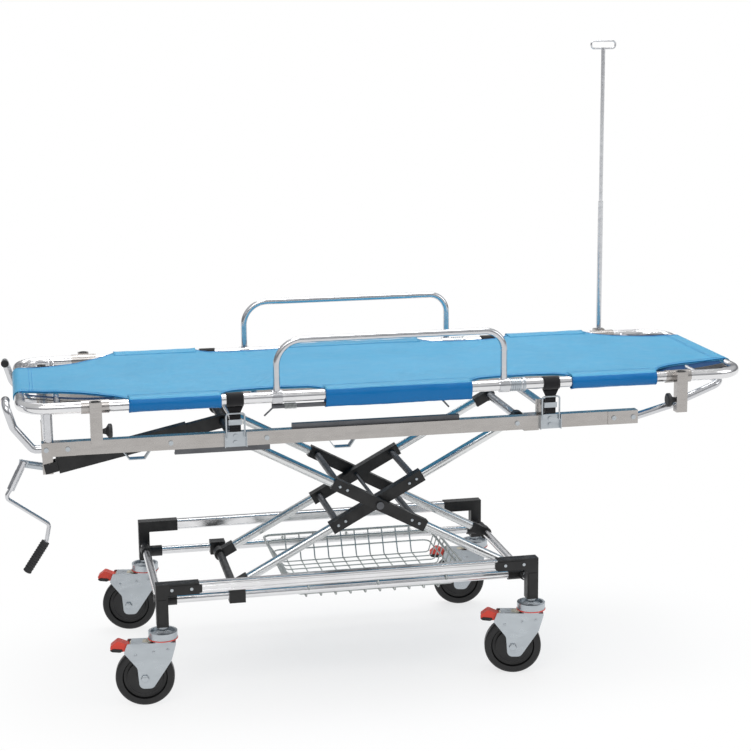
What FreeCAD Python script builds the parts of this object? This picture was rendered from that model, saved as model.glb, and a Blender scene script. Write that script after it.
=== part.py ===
import FreeCAD, Part
import math
import os
import re
from FreeCAD import Placement, Rotation, Vector

# Ambulance cot: a litter with a fabric bed that lifts off a wheeled trolley.
# The trolley is a low base frame on four casters, a pair of scissor legs and an upper
# frame of two rails, raised by a hand crank at the foot end.
# +X points to the head end, +Y to the left of a person who pushes from the foot, +Z up.
# Millimetres.  Places below are measured from the middle of the base frame; middle_x
# then moves every sub-part so that the origin is on the floor under the whole cot's middle.

SIZES = {
    # whole cot
    "middle_x": 106.3,
    # fits between pieces that move on each other
    "run_gap": 0.05, "soft_gap": 0.3, "slide_gap": 1.0,
    # base frame
    "base_length": 1002.0, "base_width": 606.0, "base_top": 318.0, "post_side": 30.0,
    "post_bottom": 206.0, "corner_arm": 110.0, "socket_depth": 40.0, "base_tube_width": 24.0,
    "base_tube_height": 28.0, "slide_tube_r": 11.0, "slide_tube_y": 215.0, "slide_z": 250.0,
    "connector_r": 15.0, "connector_length": 44.0, "connector_depth": 36.0,
    "tube_wall": 1.5, "rivet_r": 4.0, "rivet_height": 2.5,
    # casters
    "wheel_r": 75.0, "wheel_width": 32.0, "tread_round": 7.0, "caster_trail": 48.0,
    "fork_gap": 3.0, "fork_wall": 3.0, "fork_top": 168.0, "axle_r": 6.0, "head_r": 37.0,
    "head_bottom": 177.0, "head_height": 17.0, "stem_r": 8.0, "pedal_width": 28.0,
    "pedal_pin_r": 3.0, "pedal_pin_out": 90.0, "pedal_pin_z": 155.0,
    # scissor legs
    "centre_x": 100.0, "centre_z": 457.0, "upper_pivot_z": 664.0,
    "leg_tube_r": 12.0, "leg_a_y": 178.0, "leg_b_y": 148.0, "joint_depth": 28.0,
    "joint_r": 17.0, "joint_stub": 45.0, "joint_height": 26.0, "sleeve_length": 280.0,
    "sleeve_height": 31.0, "cross_bar_r": 9.0, "cross_bar_out": 118.0, "pivot_bar_r": 11.0,
    "centre_pin_r": 5.0, "pin_head_r": 10.0, "slider_length": 42.0, "slider_depth": 34.0,
    "slider_height": 36.0,
    # upper frame
    "rail_foot_x": -766.0, "rail_length": 1533.0, "rail_depth": 25.0,
    "rail_height": 35.0, "rail_top": 702.0, "rail_wall": 2.0, "plate_thick": 2.0,
    "end_plate_length": 82.0, "bolt_r": 6.0, "bolt_height": 3.0, "frame_tube_r": 11.0,
    "guide_length": 240.0, "guide_depth": 16.0, "guide_wall": 3.0, "guide_height": 32.0,
    "guide_foot_x": -440.0, "pivot_block_x": 40.0, "pivot_block_y": 16.0,
    "pivot_block_z": 45.0, "hat_top": 68.0, "hat_foot": 40.0, "hat_depth": 20.0,
    "hat_one_x": -535.0, "hat_two_x": -19.0, "post_r": 12.0, "post_x": -748.5,
    "handle_tube_r": 10.0, "handle_bend": 28.0, "strip_foot_x": -145.0,
    "strip_length": 433.0, "strip_depth": 14.0, "strip_height": 12.0, "tie_length": 140.0,
    "tie_height": 9.0, "upright_x": 26.0, "upright_y": 9.0, "upright_top": 742.0,
    "strap_tube_z": 730.0, "end_tube_z": 689.0,
    # strap brackets and their wire bails
    "bail_foot_x": -290.0, "bail_head_x": 528.0, "bracket_width": 56.0,
    "bracket_height": 38.0, "bracket_flange": 9.0, "bail_wire_r": 2.2, "bail_width": 46.0,
    "bail_pivot_z": 690.0, "bail_top_z": 752.0, "bail_bend": 7.0, "bail_out": 6.5,
    # crank, its bearing and the telescopic screw strut
    "crank_root_x": -762.0, "crank_root_z": 567.0, "crank_rise": 12.2,
    "bearing_x": 27.0, "bearing_y": 34.0, "bearing_bottom": 549.0, "spindle_r": 10.0,
    "spindle_out": 52.0, "crank_rod_r": 5.5, "crank_bend": 13.0, "crank_sleeve_r": 10.0,
    "crank_sleeve_length": 84.0, "hinge_pin_r": 3.0, "tongue": 5.0, "grip_r": 11.0,
    "grip_length": 90.0, "housing_width": 30.0, "housing_height": 42.0, "housing_wall": 3.0,
    "housing_start": 26.0, "housing_length": 350.0, "trunnion_r": 4.0, "trunnion_depth": 6.0,
    "yoke_wall": 3.0, "yoke_height": 26.0, "strut_eye_r": 17.0, "strut_length": 270.0,
    # litter
    "litter_tube_r": 14.0, "litter_z": 787.0, "litter_y": 303.0, "litter_foot_x": -812.0,
    "litter_head_x": 1058.0, "foot_bend": 72.0, "head_bend": 80.0, "bow_shank": 20.0,
    "socket_x": 29.0, "socket_y": 24.0, "socket_bottom": 698.0, "socket_height": 106.0,
    "socket_foot_x": -633.0, "socket_head_x": 874.0, "socket_bore_r": 7.5,
    "saddle_length": 68.0, "saddle_wall": 2.5, "knob_r": 18.0, "knob_length": 24.0,
    "knob_z": 730.0, "knob_stud_r": 4.0, "fabric_thick": 3.0, "strap_width": 43.0,
    "strap_stem": 28.0, "strap_thick": 3.0, "stem_bottom": 704.0, "litter_bar_r": 9.0,
    "spring_wire_r": 1.4, "spring_length": 30.0, "spring_pitch": 6.0,
    # side rails, release rods, drip pole
    "guard_tube_r": 8.5, "guard_foot_x": -184.0, "guard_head_x": 403.0,
    "guard_top": 930.0, "guard_foot_bend": 66.0, "guard_head_bend": 50.0,
    "collar_length": 26.0, "collar_wall": 4.0, "release_r": 5.5, "release_foot_x": -197.0,
    "release_length": 438.0, "lever_r": 2.2, "lever_length": 34.0, "pole_top": 1642.0,
    "pole_tube_top": 1180.0, "pole_rod_r": 5.5, "pole_insert": 310.0,
    "hook_length": 77.0, "hook_height": 26.0, "hook_wire_r": 2.5,
    # basket
    "basket_foot_x": -157.0, "basket_head_x": 329.0, "basket_half_width": 200.0,
    "basket_rim_z": 277.0, "basket_floor_z": 210.0, "basket_wall": 4.0,
    "basket_taper_foot": 42.0, "basket_taper_head": 18.0, "basket_taper_side": 35.0,
    "basket_hook": 12.0,
}

os.makedirs("parts", exist_ok=True)
doc = FreeCAD.newDocument("AmbulanceCot")
sheet = doc.addObject("Spreadsheet::Sheet", "Sizes")
for row, (alias, value) in enumerate(SIZES.items(), start=1):
    sheet.set(f"A{row}", alias)
    sheet.set(f"B{row}", str(value))
    sheet.setAlias(f"B{row}", alias)
doc.recompute()


class Named:
    """The sheet's values as plain numbers, read once."""


S = Named()
for alias in SIZES:
    setattr(S, alias, float(sheet.get(alias)))

X = Vector(1, 0, 0)
Y = Vector(0, 1, 0)
Z = Vector(0, 0, 1)
SIDES = (("right", -1), ("left", 1))
NODES = {}


# ---------------------------------------------------------------- small helpers

def bind(piece, **sizes):
    """Tie properties of a document object to cells of the sheet."""
    for name, text in sizes.items():
        text = re.sub(r"[a-z][a-z_]*", lambda word: "Sizes." + word[0] if word[0] in SIZES else word[0], text)
        piece.setExpression(name, text)


def cylinder(radius, length, start, along=Z):
    piece = doc.addObject("Part::Cylinder", "Round")
    bind(piece, Radius=radius, Height=length)
    piece.Placement = Placement(start, Rotation(Z, along))
    return piece


def block(length, width, height, corner, turn=Rotation()):
    piece = doc.addObject("Part::Box", "Block")
    bind(piece, Length=length, Width=width, Height=height)
    piece.Placement = Placement(corner, turn)
    return piece


def fuse(pieces):
    piece = doc.addObject("Part::MultiFuse", "Joined")
    piece.Shapes = pieces
    piece.Refine = True
    return piece


def cut(base, tools):
    piece = doc.addObject("Part::Cut", "Bored")
    piece.Base = base
    piece.Tool = tools[0] if len(tools) == 1 else fuse(tools)
    piece.Refine = True
    return piece


def group(pieces):
    piece = doc.addObject("Part::Compound", "Group")
    piece.Links = pieces
    return piece


def placed(piece, base, turn=Rotation()):
    """The same piece in another place, as a group of one."""
    copy = group([piece])
    copy.Placement = Placement(base, turn)
    return copy


def mirrored(piece):
    """The piece's twin on the other side of the cot."""
    twin = doc.addObject("Part::Mirroring", "Twin")
    twin.Source = piece
    twin.Normal = Y
    return twin


def both_sides(pieces):
    return pieces + [mirrored(piece) for piece in pieces]


def solid(shape, label="Shape"):
    """A piece whose shape neither a sketch nor a primitive gives."""
    piece = doc.addObject("Part::Feature", label)
    piece.Shape = shape
    return piece


def node(name, piece):
    """Label the piece as a sub-part and move it to the cot's own origin."""
    piece.Label = name
    piece.setExpression(".Placement.Base.x", f"{piece.Placement.Base.x} - Sizes.middle_x")
    NODES[name] = piece
    return piece


def rounded(points, radii, closed=False):
    """Straight runs through the points, joined by tangent arcs of the given radii."""
    if not isinstance(radii, (list, tuple)):
        radii = [radii] * len(points)
    count = len(points)
    corners = []
    for index, point in enumerate(points):
        ends = not closed and index in (0, count - 1)
        if ends or radii[index] == 0:
            corners.append((point, None, point))
            continue
        back = (points[index - 1] - point).normalize()
        ahead = (points[(index + 1) % count] - point).normalize()
        half = back.getAngle(ahead) / 2
        run = radii[index] / math.tan(half)
        bisector = (back + ahead).normalize()
        middle = point + bisector * (radii[index] / math.sin(half) - radii[index])
        corners.append((point + back * run, middle, point + ahead * run))
    path = []
    for index, (first, middle, last) in enumerate(corners):
        if middle is not None:
            path.append(Part.Arc(first, middle, last))
        if index + 1 < count or closed:
            target = corners[(index + 1) % count][0]
            if last.distanceToPoint(target) > 1e-6:
                path.append(Part.LineSegment(last, target))
    return path


def swept(path, radius):
    wire = Part.Wire([piece.toShape() for piece in path])
    start = path[0].StartPoint
    along = path[0].EndPoint - start if isinstance(path[0], Part.LineSegment) else path[0].tangent(
        path[0].FirstParameter)[0]
    ring = Part.Wire([Part.Circle(start, along, radius).toShape()])
    return wire.makePipeShell([ring], True, False)


def tube_shape(points, bends, radius, wall=0.0):
    """A bent tube; wall 0 makes it a rod."""
    path = rounded(points, bends)
    outside = swept(path, radius)
    return outside.cut(swept(path, radius - wall)) if wall else outside


def straight_tube(radius, wall, length, start, along):
    outside = cylinder(radius, length, start, along)
    inside = cylinder(f"{radius} - {wall}", length, start, along)
    return cut(outside, [inside])


def sketch_on(body, plane, geometry):
    """A sketch on one of the body's own origin planes."""
    sketch = body.newObject("Sketcher::SketchObject", "Outline")
    support = next(item for item in body.Origin.OriginFeatures if item.Role == plane)
    sketch.AttachmentSupport = [(support, "")]
    sketch.MapMode = "FlatFace"
    sketch.addGeometry(geometry, False)
    return sketch


def plate(plane, outline, thickness, label="Plate"):
    """A flat piece: a closed outline padded by a bound thickness."""
    body = doc.addObject("PartDesign::Body", label)
    sketch = sketch_on(body, plane, outline)
    pad = body.newObject("PartDesign::Pad", "Thickness")
    pad.Profile = sketch
    bind(pad, Length=thickness)
    return body


def turned(profile, label="Turned"):
    """A lathe-turned piece: a profile of radius and height spun about its own Z axis."""
    body = doc.addObject("PartDesign::Body", label)
    sketch = sketch_on(body, "XZ_Plane", profile)
    spin = body.newObject("PartDesign::Revolution", "Spin")
    spin.Profile = sketch
    spin.ReferenceAxis = (sketch, ["V_Axis"])
    spin.Angle = 360
    return body


def flat(*pairs):
    return [Vector(first, second, 0) for first, second in pairs]


# ---------------------------------------------------------------- base frame

half_length = S.base_length / 2
half_width = S.base_width / 2
post_x = half_length - S.post_side / 2
post_y = half_width - S.post_side / 2
tube_z = S.base_top - 1 - S.base_tube_height / 2


def side_section(width, height, groove):
    """Rounded tube section with two shallow grooves along its outer face."""
    w, h, low = width / 2, height / 2, tube_z - height / 2
    right = [(w, h - 7), (w - groove, h - 8.5), (w, h - 10), (w, 10 - h), (w - groove, 8.5 - h),
             (w, 7 - h)] if groove else []
    corners = [(-w, -h), (-w, h), (w, h)] + right + [(w, -h)]
    radii = [6, 6, 6] + [0] * len(right) + [6]
    return rounded(flat(*[(post_y + a, low + h + b) for a, b in corners]), radii, closed=True)


def base_tubes():
    """Side tubes of the base: hollow ribbed section padded to length."""
    wall = 2 * S.tube_wall
    section = side_section(S.base_tube_width, S.base_tube_height, 1.0)
    section += side_section(S.base_tube_width - 2 * wall, S.base_tube_height - 2 * wall, 0)
    tube = plate("YZ_Plane", section, "base_length - 2*corner_arm + 2*socket_depth", "Tube")
    tube.Placement = Placement(Vector(-half_length + S.corner_arm - S.socket_depth, 0, 0), Rotation())
    return node("base_tubes", group(both_sides([tube])))


def corner_bracket(end):
    """Black moulded corner: an upright post with an arm that takes the side tube."""
    outer = end * half_length
    post = block("post_side", "post_side", "base_top - post_bottom",
                 Vector(min(outer, outer - end * S.post_side), half_width - S.post_side, S.post_bottom))
    arm = block("corner_arm", "post_side", "post_side",
                Vector(min(outer, outer - end * S.corner_arm), half_width - S.post_side,
                       S.base_top - S.post_side))
    mouth = outer - end * S.corner_arm
    bore = block("socket_depth", "base_tube_width", "base_tube_height",
                 Vector(min(mouth, mouth + end * S.socket_depth), post_y - S.base_tube_width / 2,
                        tube_z - S.base_tube_height / 2))
    stem_hole = cylinder("stem_r", "socket_depth", Vector(end * post_x, post_y, S.post_bottom))
    return cut(fuse([post, arm]), [bore, stem_hole])


def slide_connector(end):
    """Black tee that joins a slide tube to the cross tube at the end of the base."""
    place = Vector(end * post_x, S.slide_tube_y, S.slide_z)
    along = cylinder("connector_r", "connector_length", place, X * -end)
    across = cylinder("connector_r", "connector_depth", place - Y * (S.connector_depth / 2), Y)
    bores = [cylinder("slide_tube_r", "connector_length", place, X * -end),
             cylinder("slide_tube_r", "connector_depth", place - Y * (S.connector_depth / 2), Y)]
    return cut(fuse([along, across]), bores)


def frame_connectors():
    pieces = []
    for end in (-1, 1):
        pieces += [corner_bracket(end), slide_connector(end)]
    return node("frame_connectors", group(both_sides(pieces)))


def slide_tubes():
    """Two long tubes that the lower slider runs on and the two cross tubes of the base;
    leg A turns on the cross tube at the head end."""
    reach = post_x - S.slide_tube_r
    slide = straight_tube("slide_tube_r", "tube_wall", f"{2 * reach}",
                          Vector(-reach, S.slide_tube_y, S.slide_z), X)
    inner = half_width - S.post_side
    ends = [straight_tube("slide_tube_r", "tube_wall", "base_width - 2*post_side",
                          Vector(end * post_x, -inner, S.slide_z), Y) for end in (-1, 1)]
    return node("slide_tubes", group(both_sides([slide]) + ends))



def base_fasteners():
    """Rivets through the corner arms, and the casters' threaded stems with their nuts."""
    pieces = []
    for end in (-1, 1):
        for out in (S.post_side, S.corner_arm - S.post_side):
            place = Vector(end * (half_length - out - 10), half_width, tube_z)
            pieces.append(cylinder("rivet_r", "rivet_height", place, Y))
        stem_bottom = S.head_bottom + S.head_height + S.soft_gap
        stem = cylinder("stem_r", f"socket_depth + post_bottom - {stem_bottom}",
                        Vector(end * post_x, post_y, stem_bottom))
        nut = cylinder("1.6*stem_r", "6", Vector(end * post_x, post_y, S.post_bottom - 6))
        pieces.append(fuse([stem, nut]))
    return node("base_fasteners", group(both_sides(pieces)))


def tray_solid(inset, bottom, top):
    """Tapered tray block of the basket, moved in by inset all round."""
    depth = S.basket_rim_z - S.basket_floor_z

    def ring(height):
        share = (S.basket_rim_z - height) / depth
        foot = S.basket_foot_x + S.basket_taper_foot * share + inset
        head = S.basket_head_x - S.basket_taper_head * share - inset
        side = S.basket_half_width - S.basket_taper_side * share - inset
        corners = [(foot, -side), (head, -side), (head, side), (foot, side), (foot, -side)]
        return Part.makePolygon([Vector(x, y, height) for x, y in corners])

    return Part.makeLoft([ring(bottom), ring(top)], True, True)


def basket():
    """Wire basket between the slide tubes, as a closed tray of its outer shape."""
    outside = tray_solid(0, S.basket_floor_z, S.basket_rim_z)
    inside = tray_solid(S.basket_wall, S.basket_floor_z + S.basket_wall, S.basket_rim_z + 1)
    tray = outside.cut(inside)
    hooks = []
    level = S.slide_z + S.slide_tube_r
    lean = S.basket_taper_side * (S.basket_rim_z - level) / (S.basket_rim_z - S.basket_floor_z)
    root_y = S.basket_half_width - lean - S.basket_wall / 2
    length = S.slide_tube_y + 2 - root_y
    for share in (0.12, 0.5, 0.88):
        x = S.basket_foot_x + share * (S.basket_head_x - S.basket_foot_x)
        corner = Vector(x - S.basket_hook / 2, root_y, level)
        hooks.append(Part.makeBox(S.basket_hook, length, 3, corner))
        hooks.append(Part.makeBox(S.basket_hook, length, 3, Vector(corner.x, -root_y - length, level)))
    return node("basket", solid(tray.multiFuse(hooks), "Tray"))


# ---------------------------------------------------------------- casters

CASTERS = (("foot_right", -1, -1, -6), ("foot_left", -1, 1, -10), ("head_right", 1, -1, -14),
           ("head_left", 1, 1, -10))


def caster_place(piece, name, end, side, angle):
    piece.Placement = Placement(Vector(end * post_x, side * post_y, 0), Rotation(Z, angle))
    return node(name, piece)


def fork(tag, end, side, angle):
    """Pressed steel swivel fork with its bearing head, axle and pedal pin."""
    wheel_side = S.wheel_width / 2 + S.fork_gap
    drop = S.wheel_r - 0.36 * S.wheel_r
    outline = flat((S.head_r - 3, S.fork_top), (0.27 * S.wheel_r, 1.6 * S.wheel_r),
                   (-S.caster_trail + 20, drop), (-S.caster_trail - 14, drop),
                   (-S.caster_trail - 18, 1.37 * S.wheel_r),
                   (-S.pedal_pin_out - 9, S.pedal_pin_z - 11), (-S.pedal_pin_out, S.fork_top))
    cheeks = []
    for lateral in (-wheel_side, wheel_side + S.fork_wall):
        cheek = plate("XZ_Plane", rounded(outline, [4, 20, 15, 14, 18, 5, 4], closed=True), "fork_wall")
        cheek.Placement = Placement(Vector(0, lateral, 0), Rotation())
        cheeks.append(cheek)
    crown = block("pedal_pin_out + head_r - 14", "wheel_width + 2*fork_gap", "fork_wall",
                  Vector(-S.pedal_pin_out + 9, -wheel_side, S.fork_top - S.fork_wall))
    neck = cylinder("head_r - 8", "head_bottom - fork_top", Vector(0, 0, S.fork_top))
    head = cylinder("head_r", "head_height", Vector(0, 0, S.head_bottom))
    well = cylinder("head_r - 6", "6", Vector(0, 0, S.head_bottom + S.head_height - 6))
    axle_half = wheel_side + 2 * S.fork_wall
    axle = cylinder("axle_r", f"{2 * axle_half}", Vector(-S.caster_trail, -axle_half, S.wheel_r), Y)
    pin = cylinder("pedal_pin_r", f"{2 * wheel_side}", Vector(-S.pedal_pin_out, -wheel_side, S.pedal_pin_z), Y)
    shape = cut(fuse(cheeks + [crown, neck, head, axle, pin]), [well])
    return caster_place(shape, f"caster_fork_{tag}", end, side, angle)


def wheel(tag, end, side, angle):
    """Solid black wheel: tread, thinner web and hub, turned in one piece."""
    half = S.wheel_width / 2
    hub = S.wheel_r * 0.3
    rim = S.wheel_r * 0.72
    web = half - 6
    bore = S.axle_r + S.run_gap
    profile = rounded(flat((bore, -half), (hub, -half), (hub + 3, -web), (rim, -web), (rim + 3, -half),
                           (S.wheel_r, -half), (S.wheel_r, half), (rim + 3, half), (rim, web),
                           (hub + 3, web), (hub, half), (bore, half)),
                      [0, 0, 0, 0, 0, S.tread_round, S.tread_round, 0, 0, 0, 0, 0], closed=True)
    disc = turned(profile, "Wheel")
    disc.Placement = Placement(Vector(-S.caster_trail, 0, S.wheel_r), Rotation(Z, Y))
    return caster_place(group([disc]), f"caster_wheel_{tag}", end, side, angle)


def pedal(tag, end, side, angle):
    """Brake pedal that hangs on a pin between the fork's cheeks."""
    pin = Vector(-S.pedal_pin_out, 0, S.pedal_pin_z)
    outline = flat((pin.x + 7, pin.z - 7), (pin.x + 5, pin.z + 8), (pin.x - 24, pin.z + 20),
                   (pin.x - 44, pin.z + 4), (pin.x - 40, pin.z - 9), (pin.x - 14, pin.z - 9))
    lever = plate("XZ_Plane", rounded(outline, [5, 5, 8, 5, 4, 6], closed=True), "pedal_width")
    lever.Placement = Placement(Vector(0, S.pedal_width / 2, 0), Rotation())
    hole = cylinder("pedal_pin_r + run_gap", "pedal_width", pin - Y * (S.pedal_width / 2), Y)
    return caster_place(cut(lever, [hole]), f"brake_pedal_{tag}", end, side, angle)


# ---------------------------------------------------------------- scissor legs

lower_pivot_x = (S.base_length - S.post_side) / 2
slope = math.atan2(S.centre_z - S.slide_z, lower_pivot_x - S.centre_x)
lower_arm = math.hypot(S.centre_z - S.slide_z, lower_pivot_x - S.centre_x)
upper_arm = (S.upper_pivot_z - S.centre_z) / math.sin(slope)
slider_x = S.centre_x - lower_arm * math.cos(slope)
leg_top_foot_x = S.centre_x - upper_arm * math.cos(slope)
leg_top_head_x = S.centre_x + upper_arm * math.cos(slope)
LEG_A = Placement(Vector(lower_pivot_x, 0, S.slide_z), Rotation(Y, 180 + math.degrees(slope)))
LEG_B = Placement(Vector(slider_x, 0, S.slide_z), Rotation(Y, -math.degrees(slope)))


def in_leg(piece, leg):
    """Leg pieces are drawn along +X from the lower pivot, then laid along the leg."""
    whole = group([piece])
    whole.Placement = leg
    return whole


def leg_tubes(name, leg, lateral):
    runs = ((S.joint_stub, lower_arm - S.sleeve_length / 2 - S.joint_stub),
            (lower_arm + S.sleeve_length / 2, upper_arm - S.sleeve_length / 2 - S.joint_stub))
    tubes = []
    for start, length in runs:
        tubes.append(straight_tube("leg_tube_r", "tube_wall", f"{length}",
                                   Vector(start, getattr(S, lateral), 0), X))
    return node(name, in_leg(group(both_sides(tubes)), leg))


def end_joint(lateral, place, inward, bar="pivot_bar_r"):
    """Black end joint: an eye round a pivot bar with a stub that takes the leg tube."""
    near = getattr(S, lateral) - S.joint_depth / 2
    eye = cylinder("joint_r", "joint_depth", Vector(place, near, 0), Y)
    corner = place if inward > 0 else place - S.joint_stub
    stub = block("joint_stub", "joint_depth", "joint_height",
                 Vector(corner, near, -S.joint_height / 2))
    hole = cylinder(f"{bar} + run_gap", "joint_depth", Vector(place, near, 0), Y)
    return cut(fuse([eye, stub]), [hole])


def leg_joints(name, leg, lateral, pin_gap):
    near = getattr(S, lateral) - S.joint_depth / 2
    sleeve = block("sleeve_length", "joint_depth", "sleeve_height",
                   Vector(lower_arm - S.sleeve_length / 2, near, -S.sleeve_height / 2))
    hole = cylinder(f"centre_pin_r + {pin_gap}", "joint_depth", Vector(lower_arm, near, 0), Y)
    root_bar = "slide_tube_r" if lateral == "leg_a_y" else "pivot_bar_r"
    pieces = [end_joint(lateral, 0, 1, root_bar), cut(sleeve, [hole]),
              end_joint(lateral, lower_arm + upper_arm, -1)]
    return node(name, in_leg(group(both_sides(pieces)), leg))


def leg_bars(name, leg, lateral, centre_pin):
    reach = getattr(S, lateral) - S.joint_depth / 2
    bars = []
    for out in (-S.cross_bar_out, S.cross_bar_out):
        bars.append(straight_tube("cross_bar_r", "tube_wall", f"2*{lateral} - joint_depth",
                                  Vector(lower_arm + out, -reach, 0), Y))
    if centre_pin:
        outer = S.leg_a_y + S.joint_depth / 2 + S.soft_gap
        shank = cylinder("centre_pin_r", f"{2 * outer}", Vector(lower_arm, -outer, 0), Y)
        heads = both_sides([cylinder("pin_head_r", "5", Vector(lower_arm, outer, 0), Y)])
        bars.append(fuse([shank] + heads))
    return node(name, in_leg(group(bars), leg))


def lower_slider():
    """Two black shoes that run on the slide tubes, joined by the bar that leg B hangs on."""
    inner = S.slide_tube_y - S.slider_depth / 2
    shoe = block("slider_length", "slider_depth", "slider_height",
                 Vector(slider_x - S.slider_length / 2, inner, S.slide_z - S.slider_height / 2))
    bore = cylinder("slide_tube_r + run_gap", "slider_length",
                    Vector(slider_x - S.slider_length / 2, S.slide_tube_y, S.slide_z), X)
    bar = straight_tube("pivot_bar_r", "tube_wall", "2*slide_tube_y - slider_depth",
                        Vector(slider_x, -inner, S.slide_z), Y)
    return node("lower_slider", group(both_sides([cut(shoe, [bore])]) + [bar]))


guide_inner = S.litter_y - S.rail_depth - S.guide_depth
shoe_face = S.litter_y - S.rail_depth - S.guide_wall - S.soft_gap
SHOE_WIDTH = 20.0


def upper_slider():
    """Two black shoes in the guide channels, joined by the bar at the top of leg A."""
    free_height = S.guide_height - 2 * S.guide_wall - 2 * S.soft_gap
    shoe = block("slider_length", f"{SHOE_WIDTH}", f"{free_height}",
                 Vector(leg_top_foot_x - S.slider_length / 2, shoe_face - SHOE_WIDTH,
                        S.upper_pivot_z - free_height / 2))
    reach = shoe_face - SHOE_WIDTH
    bar = straight_tube("pivot_bar_r", "tube_wall", f"{2 * reach}",
                        Vector(leg_top_foot_x, -reach, S.upper_pivot_z), Y)
    return node("upper_slider", group(both_sides([shoe]) + [bar]))


# ---------------------------------------------------------------- upper frame

rail_bottom = S.rail_top - S.rail_height
rail_head_x = S.rail_foot_x + S.rail_length
rail_middle_y = S.litter_y - S.rail_depth / 2
strap_tubes = (S.bail_foot_x + 2, S.bail_head_x - 20)


def rectangle(low_y, high_y, low_z, high_z):
    return rounded(flat((low_y, low_z), (high_y, low_z), (high_y, high_z), (low_y, high_z)), 0, closed=True)


def upper_rails():
    """Two rectangular steel rails, each a hollow section padded to length."""
    wall = S.rail_wall
    inner = S.litter_y - S.rail_depth
    section = rectangle(inner, S.litter_y, rail_bottom, S.rail_top)
    section += rectangle(inner + wall, S.litter_y - wall, rail_bottom + wall, S.rail_top - wall)
    rail = plate("YZ_Plane", section, "rail_length", "Rail")
    rail.Placement = Placement(Vector(S.rail_foot_x, 0, 0), Rotation())
    return node("upper_rails", group(both_sides([rail])))


def rail_end_plates():
    """Joining plates on the outer faces of the rails' ends."""
    plates = []
    for start in (S.rail_foot_x, rail_head_x - S.end_plate_length):
        plates.append(block("end_plate_length", "plate_thick", "rail_height",
                            Vector(start, S.litter_y, rail_bottom)))
    return node("rail_end_plates", group(both_sides(plates)))


def frame_cross_tubes():
    """Tubes across the two rails, and the bar that leg B turns on."""
    reach = S.litter_y - S.rail_depth
    high = reach + 2
    low = reach - S.pivot_block_y
    tubes = [straight_tube("post_r", "tube_wall", "2*litter_y - 2*rail_depth",
                           Vector(S.post_x, -reach, S.end_tube_z), Y)]
    for x in strap_tubes:
        tubes.append(straight_tube("frame_tube_r", "tube_wall", f"{2 * high}",
                                   Vector(x, -high, S.strap_tube_z), Y))
    tubes.append(straight_tube("pivot_bar_r", "tube_wall", f"{2 * low}",
                               Vector(leg_top_head_x, -low, S.upper_pivot_z), Y))
    return node("frame_cross_tubes", group(tubes))


def rail_feet():
    """Pressed hat-shaped rests under the rails."""
    top = S.hat_top / 2
    foot = S.hat_foot / 2
    wall = S.plate_thick
    outline = rounded(flat((-top, 0), (-foot, -S.hat_depth), (foot, -S.hat_depth), (top, 0),
                           (top - 1.4 * wall, 0), (foot - wall, -S.hat_depth + wall),
                           (-foot + wall, -S.hat_depth + wall), (-top + 1.4 * wall, 0)), 0, closed=True)
    rests = []
    for place in (S.hat_one_x, S.hat_two_x):
        rest = plate("XZ_Plane", outline, "rail_depth", "Hat")
        rest.Placement = Placement(Vector(place, S.litter_y, rail_bottom), Rotation())
        rests.append(rest)
    return node("rail_feet", group(both_sides(rests)))


def guide_channels():
    """Channels inside the rails that guide the upper slider's shoes."""
    outer = S.litter_y - S.rail_depth
    low = S.upper_pivot_z - S.guide_height / 2
    high = low + S.guide_height
    wall = S.guide_wall
    section = rounded(flat((guide_inner, low), (outer, low), (outer, high), (guide_inner, high),
                           (guide_inner, high - wall), (outer - wall, high - wall),
                           (outer - wall, low + wall), (guide_inner, low + wall)), 0, closed=True)
    channel = plate("YZ_Plane", section, "guide_length", "Channel")
    channel.Placement = Placement(Vector(S.guide_foot_x, 0, 0), Rotation())
    strip = block("strip_length", "strip_depth", "strip_height",
                  Vector(S.strip_foot_x, outer + 2, S.rail_top))
    return node("guide_channels", group(both_sides([channel, strip])))


def frame_blocks():
    """Bearing blocks of leg B's bar, uprights of the strap tubes and the crank's bearing."""
    inner = S.litter_y - S.rail_depth
    pieces = [block("pivot_block_x", "pivot_block_y", "pivot_block_z",
                    Vector(leg_top_head_x - S.pivot_block_x / 2, inner - S.pivot_block_y,
                           S.rail_top - S.pivot_block_z))]
    for x in strap_tubes:
        pieces.append(block("upright_x", "upright_y", "upright_top - rail_top",
                            Vector(x - S.upright_x / 2, inner + 2, S.rail_top)))
    bearing = block("bearing_x", "bearing_y", "end_tube_z - bearing_bottom",
                    Vector(S.post_x - S.bearing_x / 2, -S.bearing_y / 2, S.bearing_bottom))
    saddle = cylinder("post_r", "bearing_y", Vector(S.post_x, -S.bearing_y / 2, S.end_tube_z), Y)
    hole = cylinder("spindle_r + run_gap", f"{spindle_inside + S.run_gap}", crank_root, crank_axis * -1)
    mouth = cylinder("spindle_r + run_gap", "8", crank_root, crank_axis)
    sockets = both_sides([cylinder("trunnion_r + run_gap", "trunnion_depth",
                                   strut_root + Y * (S.bearing_y / 2 - S.trunnion_depth), Y)])
    pieces = both_sides(pieces) + [cut(bearing, [saddle, hole, mouth] + sockets)]
    return node("frame_blocks", group(pieces))


def foot_handles():
    """Two lifting handles bent up and in at the foot end, and the posts that carry the litter."""
    y = rail_middle_y
    start = Vector(S.rail_foot_x, y, rail_bottom + 0.5 * S.rail_height)
    points = [start, start + Vector(-20, 0, 0), Vector(-831, y, 742), Vector(-847, y, 797),
              Vector(-847, y - 50, 800)]
    bar = solid(tube_shape(points, [0, 18, 26, 22, 0], S.handle_tube_r), "Handle")
    post = straight_tube("post_r", "tube_wall", "litter_z - litter_tube_r - rail_top - soft_gap",
                         Vector(S.post_x, y, S.rail_top), Z)
    return node("foot_handles", group(both_sides([bar, post])))


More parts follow.
